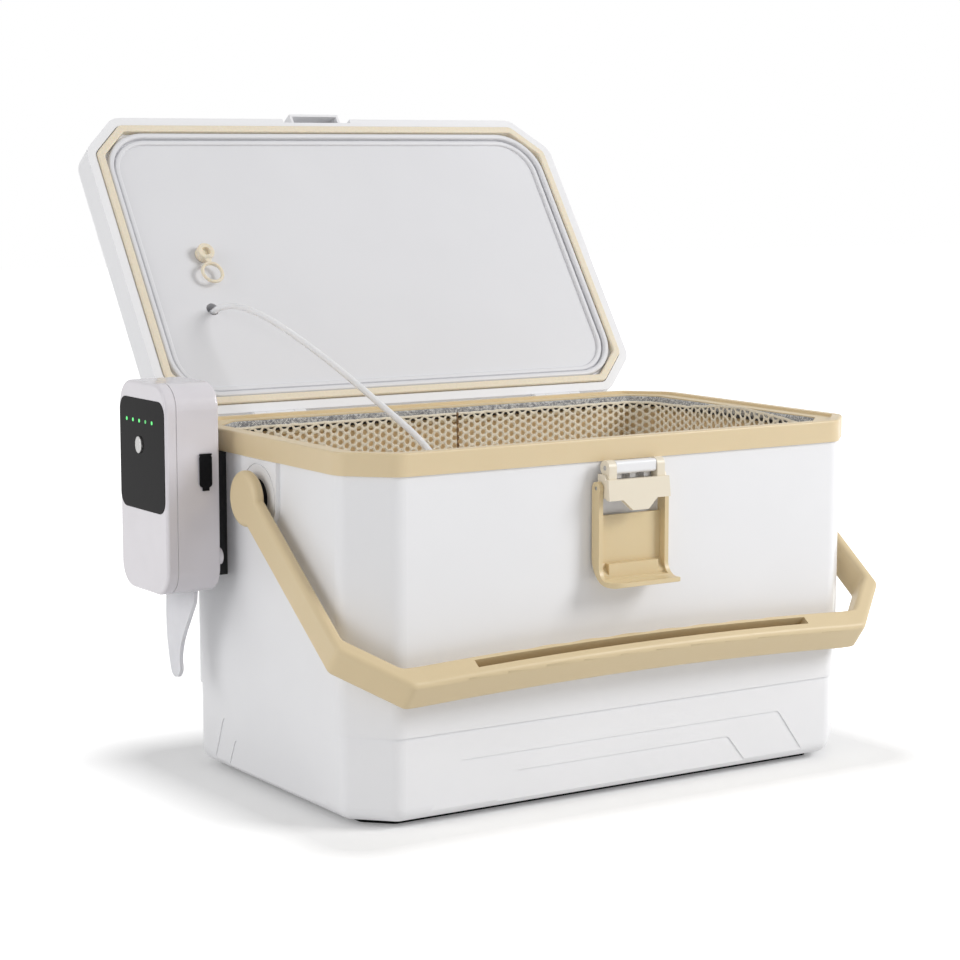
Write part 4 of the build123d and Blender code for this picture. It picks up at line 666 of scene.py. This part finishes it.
def knit():
    # Heather jersey: rows of small V stitches about 1.6 mm wide, dark and pale fibres twisted
    # together, and a fuzzy surface. The stitches are drawn a little coarse so that they show.
    dark = tints().band[:]
    material, tree, shader, where = start(
        "polyester_jersey_heather", dark, 0.95, Sheen_Weight=0.4, Sheen_Roughness=0.5)
    spot = add(tree, "UVMap").outputs["UV"]
    axes = add(tree, "SeparateXYZ", links={"Vector": spot}).outputs
    column = add(tree, "Math", {1: 1 / (1.6 * MM)}, {0: axes["X"]}, operation="MULTIPLY")
    side = add(tree, "Math", {1: 0.5}, {0: column.outputs[0]}, operation="PINGPONG")
    row = add(tree, "Math", {1: 1 / (1.2 * MM)}, {0: axes["Y"]}, operation="MULTIPLY")
    slant = add(
        tree, "Math", {1: 1.6}, {0: side.outputs[0], 2: row.outputs[0]}, operation="MULTIPLY_ADD")
    yarn = add(tree, "Math", {1: 0.5}, {0: slant.outputs[0]}, operation="PINGPONG").outputs[0]
    fibre = speckle(tree, where, 1.3, 5.0, 0.75)
    heather = tone(tree, shader, fibre, dark, linear("F0EFEC"), 0.44, 0.58)
    # Where the yarn pattern is low, between the stitch rows, the colour is painted darker: painted shade
    # in the knit's hollows.
    depth = add(
        tree, "MapRange", {"From Min": 0.0, "From Max": 0.25, "To Min": 0.35}, {"Value": yarn})
    deep = mix(tree, depth.outputs["Result"], shade(dark, 0.25), heather)
    # The band's lower edge is painted near black: painted shade in the gap between the band and the
    # net's top row of cells.
    height = add(tree, "SeparateXYZ", links={"Vector": where}).outputs["Z"]
    painted_shade = add(
        tree, "MapRange", {"From Min": BAND_PAINTED_SHADE[0], "From Max": BAND_PAINTED_SHADE[1]}, {"Value": height})
    both = mix(tree, painted_shade.outputs["Result"], linear("1B1A1A"), deep)
    tree.links.new(both, shader.inputs["Base Color"])
    relief(tree, shader, [(yarn, 0.5), (fibre, 0.2)])
    return material


def net_yarn():
    # Warp-knitted polyester: matt off-white strands, ridged every half millimetre by their plies.
    tint = tints().net[:]
    material, tree, shader, where = start(
        "polyester_net_offwhite", tint, 0.8, Sheen_Weight=0.25, Subsurface_Weight=0.15,
        Subsurface_Radius=(1.0, 0.9, 0.8), Subsurface_Scale=0.001)
    plies = add(
        tree, "TexWave", {"Scale": 0.7 / MM, "Distortion": 6.0, "Detail": 2.0, "Detail Scale": 2.0},
        {"Vector": where}, bands_direction="DIAGONAL").outputs["Fac"]
    fibre = speckle(tree, where, 2.0, 4.0)
    plain = tone(tree, shader, fibre, tint, shade(tint, 0.88))
    # A brown stitched seam runs down the back of the net, across its floor and up its front.
    across = add(tree, "SeparateXYZ", links={"Vector": where}).outputs["X"]
    seam = add(
        tree, "Math", {1: SEAM_X, 2: SEAM_HALF_WIDTH}, {0: across}, operation="COMPARE").outputs[0]
    tree.links.new(mix(tree, seam, plain, linear("7A5A34")), shader.inputs["Base Color"])
    relief(tree, shader, [(plies, 0.12)])
    return material


FINISHES = {
    "white_plastic": white_polypropylene,
    "beige_plastic": collar_polypropylene,
    "cream_plastic": lever_polypropylene,
    "tan_plastic": hook_polypropylene,
    "liner_beige": liner_polypropylene,
    "foam": foam,
    "black_rubber": black_rubber,
    "beige_rubber": silicone,
    "grey_knit": knit,
    "net": net_yarn,
    "steel": steel,
    "pump_white": glossy_abs,
    "black_gloss": black_acrylic,
    "black_plastic": black_nylon,
    "green_light": green_light,
    "silver": brushed_aluminium,
    "board_green": circuit_board,
    "cell_blue": cell_sleeve,
    "clear_hose": hose_silicone,
    "stone_grey": air_stone_grit,
    "clip_clear": frosted_clip,
    "white_rubber": white_rubber,
    "carry_handle": handle_polypropylene,
    "lid_liner": panel_polypropylene,
}
_made = {}


def finish_of(slot):
    """The material of a slot, made once."""
    if slot not in _made:
        _made[slot] = FINISHES[slot]()
    return _made[slot]


# ---- Operators ----
class BUCKET_OT_stage(bpy.types.Operator):
    """Sets up the camera, the floor and the soft studio light"""

    bl_idname = "bucket.stage"
    bl_label = "Studio"

    def camera(self):
        bpy.ops.object.camera_add(location=CAMERA_SPOT, rotation=aim(CAMERA_SPOT, CAMERA_TARGET))
        camera = bpy.context.object
        camera.data.sensor_width = 36
        camera.data.lens = CAMERA_LENS
        bpy.context.scene.camera = camera

    def floor(self):
        bpy.ops.mesh.primitive_plane_add(size=FLOOR_SIDE, location=(0, 0, -FLOOR_DROP))
        floor = bpy.context.object
        floor.name = "studio_floor"
        material = bpy.data.materials.new("paper_white")
        material.use_nodes = True
        tree = material.node_tree
        tree.nodes.clear()
        # Seamless paper: its grain is too fine to see, so only a slow tone is drawn.
        pattern = speckle(tree, place(tree), 400)
        spread = add(tree, "MapRange", {"To Min": 0.995}, {"Value": pattern}).outputs["Result"]
        paper = add(tree, "BsdfDiffuse", {"Color": linear("EDEDED")})
        # The paper glows less near the bucket, as a painted shadow round its base, and brightens away
        # from it so that it meets the white background unseen.
        reach = place(tree)
        beyond = (RIM_HALF_LENGTH, RIM_HALF_WIDTH, 0)
        for step, by in (("ABSOLUTE", (0, 0, 0)), ("SUBTRACT", beyond), ("MAXIMUM", (0, 0, 0))):
            reach = add(tree, "VectorMath", {1: by}, {0: reach}, operation=step).outputs["Vector"]
        reach = add(tree, "VectorMath", links={0: reach}, operation="LENGTH").outputs["Value"]
        (near, far), (low, high) = PAINTED_SHADOW_REACH, PAINTED_SHADOW_LIFT
        # Close to the tub the added light stays low: this is the painted shadow.
        lift = add(
            tree, "MapRange", {"From Min": near, "From Max": far, "To Min": low, "To Max": high},
            {"Value": reach}).outputs["Result"]
        for share in (seen_plainly(tree), spread):
            lift = add(tree, "Math", links={0: lift, 1: share}, operation="MULTIPLY").outputs[0]
        glow = add(tree, "Emission", links={"Strength": lift})
        both = add(tree, "AddShader", links={0: paper.outputs[0], 1: glow.outputs[0]})
        add(tree, "OutputMaterial", links={"Surface": both.outputs[0]})
        floor.data.materials.append(material)

    def lamp(self, name, spot, size, power):
        bpy.ops.object.light_add(type="AREA", location=spot, rotation=aim(spot, LAMP_TARGET))
        lamp = bpy.context.object
        lamp.name = name
        lamp.data.shape = "SQUARE"
        lamp.data.size = size
        lamp.data.energy = power

    def sky(self):
        world = bpy.data.worlds.new("studio")
        bpy.context.scene.world = world
        world.use_nodes = True
        tree = world.node_tree
        tree.nodes.clear()
        level = add(tree, "MapRange", {"To Min": SKY_LIGHT}, {"Value": seen_plainly(tree)})
        back = add(
            tree, "Background", {"Color": linear("FFFFFF")}, {"Strength": level.outputs["Result"]})
        add(tree, "OutputWorld", links={"Surface": back.outputs[0]})

    def execute(self, context):
        bpy.ops.object.select_all(action="DESELECT")
        context.scene.view_settings.view_transform = "Standard"
        self.camera()
        self.floor()
        for lamp in LAMPS:
            self.lamp(*lamp)
        self.sky()
        return {"FINISHED"}


class BUCKET_OT_air_hose(bpy.types.Operator):
    """Makes the air hose from the pump through the lid to the air stone"""

    bl_idname = "bucket.air_hose"
    bl_label = "Air hose"

    def execute(self, context):
        diameter = context.scene.bucket_sizes.hose_diameter
        curve = bpy.data.curves.new("air_hose_line", "CURVE")
        curve.dimensions = "3D"
        spline = curve.splines.new("NURBS")
        spline.points.add(len(HOSE_ROUTE) - 1)
        for point, spot in zip(spline.points, HOSE_ROUTE):
            point.co = (*spot, 1)
        spline.order_u = 3
        spline.use_endpoint_u = True
        spline.resolution_u = 10
        line = bpy.data.objects.new("air_hose_line", curve)
        context.scene.collection.objects.link(line)
        bare = bpy.data.meshes.new_from_object(line)
        bpy.data.meshes.remove(bare)
        curve.bevel_depth = diameter / 2
        curve.bevel_resolution = 5
        curve.use_fill_caps = True
        choose(line)
        bpy.ops.object.convert(target="MESH")
        hose = finish(bpy.context.object, "silicone_air_hose", "clear_hose", 60)
        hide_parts("air_hose")
        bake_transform(hose)
        return {"FINISHED"}


class BUCKET_OT_net_bag(bpy.types.Operator):
    """Makes the hexagonal net bag that hangs inside the tub"""

    bl_idname = "bucket.net_bag"
    bl_label = "Net bag"

    def sag(self, around, down):
        """How far the wall hangs in, from its place round the mouth and down, both 0 to 1."""
        swing = 0.5
        for waves, share, start_at in NET_WAVES:
            swing += share * math.sin(2 * math.pi * waves * around + start_at)
        hang = math.sin(math.pi * min(down * 1.15, 1)) ** 1.5
        return bpy.context.scene.bucket_sizes.net_sag * hang * swing

    def gathered(self, spot):
        """How much the net is bunched up, 0 to 1, on the wall away from the pump."""
        if spot.x < GATHER_FROM_X:
            return 0.0
        return max(0.0, 1 - abs(spot.y - GATHER_Y) / GATHER_HALF_WIDTH) ** 0.7

    def shift(self, k, j, side):
        """How far a knot of a hexagon stands to the side of its column."""
        return side / 4 if (j + k) % 2 == 0 else -side / 4

    def strands(self, net, points, inwards, sizes):
        """Makes the net's edges flat strands, thinner across the net than along it."""
        modify(
            net, "WIREFRAME", thickness=sizes.net_yarn, use_replace=True, use_even_offset=False,
            use_boundary=True)
        knots = KDTree(len(points))
        for i, point in enumerate(points):
            knots.insert(point, i)
        knots.balance()
        for vertex in net.data.vertices:
            knot, i, _ = knots.find(vertex.co)
            height = (vertex.co - knot).dot(inwards[i])
            vertex.co -= inwards[i] * height * (1 - sizes.net_depth / sizes.net_yarn)
        net.data.update()
        return net

    def wall(self, sizes):
        cell = sizes.net_cell
        side = cell / math.sqrt(3)
        ring, round_it = outline(NET_TOP_INSET + NET_TAPER / 2, NET_RING_POINTS)
        columns = 2 * round(round_it / (1.5 * side) / 2)
        rows = 2 * round((NET_TOP - NET_FLOOR) / cell)
        noise = random.Random(7)
        points, faces, inwards = [], [], []
        for k in range(columns):
            for j in range(rows + 1):
                shift = self.shift(k, j, side)
                around = ((k * round_it / columns + shift) / round_it) % 1
                spot, inward = ring[int(around * len(ring)) % len(ring)]
                down = j / rows
                bunch = self.gathered(spot)
                depth = NET_TAPER * (down - 0.5) + self.sag(around, down)
                deep, risen = (max(0.0, 1 - down / fade) for fade in GATHER_FADE)
                depth += bunch * GATHER_DEPTH * deep
                level = NET_TOP + (NET_FLOOR - NET_TOP) * down + bunch * GATHER_RISE * risen
                level += noise.uniform(-NET_JITTER, NET_JITTER)
                at = spot + inward * (depth + noise.uniform(0, NET_LOOSE))
                points.append((at.x, at.y, level))
                inwards.append(inward.to_3d())
        for k in range(columns):
            for j in range(rows - 1):
                if (j + k) % 2 == 0:
                    a, b = k * (rows + 1) + j, ((k + 1) % columns) * (rows + 1) + j
                    faces.append((a, a + 1, a + 2, b + 2, b + 1, b))
            # Half cells make the top and bottom edges straight.
            for j in (0, rows - 1) if k % 2 else ():
                a, b = k * (rows + 1) + j, ((k + 1) % columns) * (rows + 1) + j
                faces.append((a, a + 1, b + 1, b))
        wall = from_points("net_wall", points, faces)
        return self.strands(wall, points, inwards, sizes), round_it

    def floor(self, sizes):
        cell = sizes.net_cell
        side = cell / math.sqrt(3)
        inset = NET_TOP_INSET + NET_TAPER
        half = (RIM_HALF_LENGTH - inset, RIM_HALF_WIDTH - inset)
        across, along = int(half[0] / (1.5 * side)) + 1, int(half[1] / cell * 2) + 2
        index, points, faces = {}, [], []
        noise = random.Random(11)

        def number(k, j):
            if (k, j) not in index:
                across_at = 1.5 * side * k + self.shift(k, j, side)
                index[k, j] = len(points)
                level = NET_FLOOR + noise.uniform(0, NET_FLOOR_LOOSE)
                points.append((across_at, j * cell / 2, level))
            return index[k, j]

        for k in range(-across, across):
            for j in range(-along, along):
                middle = Vector((1.5 * side * (k + 0.5), (j + 1) * cell / 2))
                past = (
                    abs(middle.x) - half[0], abs(middle.y) - half[1],
                    abs(middle.x) + abs(middle.y) - (half[0] + half[1] - NET_FLOOR_CORNER))
                if (j + k) % 2 or max(past) > -side:
                    continue
                faces.append([number(*p) for p in (
                    (k, j), (k, j + 1), (k, j + 2), (k + 1, j + 2), (k + 1, j + 1), (k + 1, j))])
        floor = from_points("net_floor", points, faces)
        return self.strands(floor, points, [Vector((0, 0, 1))] * len(points), sizes)

    def execute(self, context):
        sizes = context.scene.bucket_sizes
        wall, round_it = self.wall(sizes)
        finish(wall, "net_bag_wall", "net", 80)
        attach(wall, "bucket")
        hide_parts("net_bag")
        floor = self.floor(sizes)
        finish(floor, "net_bag_floor", "net", 80)
        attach(floor, "bucket")
        return {"FINISHED"}


class BUCKET_OT_knitted_band(bpy.types.Operator):
    """Makes the knitted band that holds the net in the mouth of the tub"""

    bl_idname = "bucket.knitted_band"
    bl_label = "Knitted band"

    def execute(self, context):
        wall = context.scene.bucket_sizes.band_wall
        count, round_section = 720, 20
        ring, round_it = outline(BAND_INSET, count)
        noise = random.Random(5)
        ripple = [noise.uniform(-1, 1) for _ in range(count)]
        ripple = [sum(ripple[(i + n) % count] for n in range(-6, 7)) / 6 for i in range(count)]
        middle, half = (BAND_LOW + BAND_HIGH) / 2, (BAND_HIGH - BAND_LOW) / 2
        points, faces, spots = [], [], []
        for i, (spot, inward) in enumerate(ring):
            for n in range(round_section):
                turn = 2 * math.pi * n / round_section
                out = math.cos(turn)
                up = math.copysign(abs(math.sin(turn)) ** BAND_FLATNESS, math.sin(turn))
                at = spot + inward * (wall / 2 * out + BAND_RIPPLE * ripple[i] * (1 + up))
                level = middle + half * up * (1 + 0.05 * ripple[(i + 90) % count])
                points.append((at.x, at.y, level))
                spots.append((i * round_it / count, (up if out > 0 else 2.4 - up) * half))
        for i in range(count):
            for n in range(round_section):
                a, b = i * round_section, ((i + 1) % count) * round_section
                m = (n + 1) % round_section
                faces.append((a + n, a + m, b + m, b + n))
        band = from_points("knitted_band", points, faces)
        layer = band.data.uv_layers.new(name="UVMap")
        for face in band.data.polygons:
            last = face.vertices[2] // round_section < face.vertices[0] // round_section
            for loop, vertex in zip(face.loop_indices, face.vertices):
                across, up = spots[vertex]
                wrapped = round_it if last and vertex // round_section == 0 else 0
                layer.data[loop].uv = (across + wrapped, up)
        choose(band)
        bpy.ops.object.mode_set(mode="EDIT")
        bpy.ops.mesh.select_all(action="SELECT")
        bpy.ops.mesh.normals_make_consistent(inside=False)
        leave_edit()
        finish(band, "knitted_band", "grey_knit", 80)
        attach(band, "bucket")
        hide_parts("net_band")
        return {"FINISHED"}


class BUCKET_OT_hole_plug(bpy.types.Operator):
    """Makes the silicone plug that is parked in the lid, with its strap and pull ring"""

    bl_idname = "bucket.hole_plug"
    bl_label = "Hole plug"

    def cup(self):
        """Round cup, its mouth towards the tub."""
        bpy.ops.object.select_all(action="DESELECT")
        middle = PLUG_PLACE - Vector((0, 0, PLUG_HEIGHT / 2 + PLUG_LIFT))
        bpy.ops.mesh.primitive_cylinder_add(
            vertices=40, radius=PLUG_RADIUS, depth=PLUG_HEIGHT, location=middle)
        cup = bpy.context.object
        pick_faces(cup, lambda centre, normal: normal.z < -0.9)
        bpy.ops.mesh.inset(thickness=PLUG_LIP)
        bpy.ops.mesh.inset(thickness=PLUG_SHOULDER)
        bpy.ops.mesh.extrude_region_move(TRANSFORM_OT_translate={"value": (0, 0, PLUG_HOLLOW)})
        bpy.ops.mesh.inset(thickness=PLUG_HOLLOW_EDGE)
        leave_edit()
        modify(cup, "BEVEL", width=PLUG_ROUNDING["cup"], segments=2, limit_method="ANGLE")
        return cup

    def stem(self):
        """Stem that fills the hole, under the cup."""
        bpy.ops.mesh.primitive_cylinder_add(
            vertices=32, radius=PLUG_STEM_RADIUS, depth=PLUG_STEM,
            location=PLUG_PLACE + Vector((0, 0, PLUG_STEM_RISE)))
        stem = bpy.context.object
        pick_faces(stem, lambda centre, normal: normal.z > 0.9)
        step_in, stand_out = PLUG_STEM_TIP
        bpy.ops.mesh.inset(thickness=step_in)
        bpy.ops.mesh.extrude_region_move(TRANSFORM_OT_translate={"value": (0, 0, stand_out)})
        leave_edit()
        modify(stem, "BEVEL", width=PLUG_ROUNDING["stem"], segments=2, limit_method="ANGLE")
        return stem

    def strap(self):
        """Short strap that narrows from the cup to the ring."""
        middle = PLUG_PLACE + Vector((0, PLUG_STRAP_REACH, -PLUG_RING_DROP))
        bpy.ops.mesh.primitive_cube_add(size=1, location=middle)
        strap = bpy.context.object
        strap.scale = PLUG_STRAP
        bpy.ops.object.transform_apply(location=True, rotation=True, scale=True)
        pick_faces(strap, lambda centre, normal: normal.y > 0.9)
        bpy.ops.transform.resize(value=(PLUG_STRAP_TAPER, 1, 1))
        leave_edit()
        modify(strap, "BEVEL", width=PLUG_ROUNDING["strap"], segments=3)
        return strap

    def pull_ring(self, wire):
        """Ring at the strap's end, thicker where the strap meets it."""
        bpy.ops.mesh.primitive_torus_add(
            major_radius=PLUG_RING_RADIUS, minor_radius=wire / 2, major_segments=56,
            minor_segments=14, location=PLUG_PLACE + Vector((0, PLUG_RING_REACH, -PLUG_RING_DROP)))
        ring = bpy.context.object
        pick_faces(ring, lambda centre, normal: centre.y < -PLUG_RING_ROOT)
        bpy.ops.transform.resize(value=(1, 1, PLUG_RING_ROOT_GROWTH))
        leave_edit()
        return ring

    def execute(self, context):
        wire = context.scene.bucket_sizes.ring_wire
        parts = [self.cup(), self.stem(), self.strap(), self.pull_ring(wire)]
        plug = join("silicone_hole_plug", parts)
        choose(plug)
        bpy.ops.object.transform_apply(location=True, rotation=True, scale=True)
        plug.matrix_world = lid_pose()
        finish(plug, "silicone_hole_plug", "beige_rubber", 50)
        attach(plug, "plug")
        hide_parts("hole_plug")
        return {"FINISHED"}


class BUCKET_OT_springs(bpy.types.Operator):
    """Makes the wire springs behind the power button and the belt clip"""

    bl_idname = "bucket.springs"
    bl_label = "Springs"

    def coil(self, radius, reach, wire, turns):
        """One closed coil along Z, from the origin up to its reach."""
        bpy.ops.object.select_all(action="DESELECT")
        bpy.ops.mesh.primitive_circle_add(
            vertices=10, radius=wire / 2, location=(radius - wire / 2, 0, wire / 2),
            rotation=(math.pi / 2, 0, 0))
        coil = bpy.context.object
        bpy.ops.object.transform_apply(location=True, rotation=True, scale=True)
        modify(
            coil, "SCREW", axis="Z", steps=SPRING_STEPS, render_steps=SPRING_STEPS,
            iterations=turns, screw_offset=(reach - wire) / turns)
        choose(coil)
        bpy.ops.object.mode_set(mode="EDIT")
        bpy.ops.mesh.select_all(action="SELECT")
        bpy.ops.mesh.remove_doubles(threshold=1e-6)
        bpy.ops.mesh.fill_holes(sides=0)
        bpy.ops.mesh.normals_make_consistent(inside=False)
        leave_edit()
        return coil

    def execute(self, context):
        sizes = context.scene.bucket_sizes
        button = self.coil(**BUTTON_SPRING, wire=sizes.spring_wire, turns=sizes.spring_turns)
        button.rotation_euler = (0, math.pi / 2, 0)
        button.location = BUTTON_SPRING_END
        finish(button, "button_spring_wire", "steel", 60)
        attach(button, "bucket")
        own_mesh(button)
        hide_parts("button_spring")
        clip = self.coil(
            **CLIP_SPRING, wire=sizes.spring_wire * CLIP_SPRING_WIRE, turns=sizes.spring_turns)
        clip.rotation_euler = (-math.pi / 2, 0, 0)
        clip.location = CLIP_SPRING_END
        finish(clip, "clip_spring_wire", "steel", 60)
        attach(clip, "bucket")
        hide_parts("clip_spring")
        return {"FINISHED"}


class BUCKET_OT_finishes(bpy.types.Operator):
    """Gives each moulded, metal and rubber piece of the frame its real finish"""

    bl_idname = "bucket.finishes"
    bl_label = "Finishes"

    def execute(self, context):
        for part in frame["record"]["subparts"]:
            node = frame["nodes"][part["node"]]
            slot = part["node"] if part["node"] in FINISHES else part["material_slot"]
            node.material_slots[0].material = finish_of(slot)
        return {"FINISHED"}


class BUCKET_PT_panel(bpy.types.Panel):
    """Lists the steps that dress the bucket, and the values they use"""

    bl_idname = "BUCKET_PT_panel"
    bl_label = "Aerated bait bucket"
    bl_space_type = "VIEW_3D"
    bl_region_type = "UI"
    bl_category = "Bucket"

    def draw(self, context):
        layout = self.layout
        for step in STEPS:
            layout.operator(step.bl_idname)
        for group in (context.scene.bucket_sizes, context.scene.bucket_colours):
            box = layout.box()
            for name in group.__annotations__:
                box.prop(group, name)


STEPS = (
    BUCKET_OT_stage,
    BUCKET_OT_air_hose,
    BUCKET_OT_net_bag,
    BUCKET_OT_knitted_band,
    BUCKET_OT_hole_plug,
    BUCKET_OT_springs,
    BUCKET_OT_finishes,
)
CLASSES = (BucketColours, BucketSizes, *STEPS, BUCKET_PT_panel)


def register():
    for cls in CLASSES:
        bpy.utils.register_class(cls)
    bpy.types.Scene.bucket_colours = PointerProperty(type=BucketColours)
    bpy.types.Scene.bucket_sizes = PointerProperty(type=BucketSizes)


def unregister():
    del bpy.types.Scene.bucket_sizes
    del bpy.types.Scene.bucket_colours
    for cls in reversed(CLASSES):
        bpy.utils.unregister_class(cls)


def main():
    register()
    for step in STEPS:
        getattr(bpy.ops.bucket, step.bl_idname.split(".")[1])()


if __name__ == "__main__":
    main()
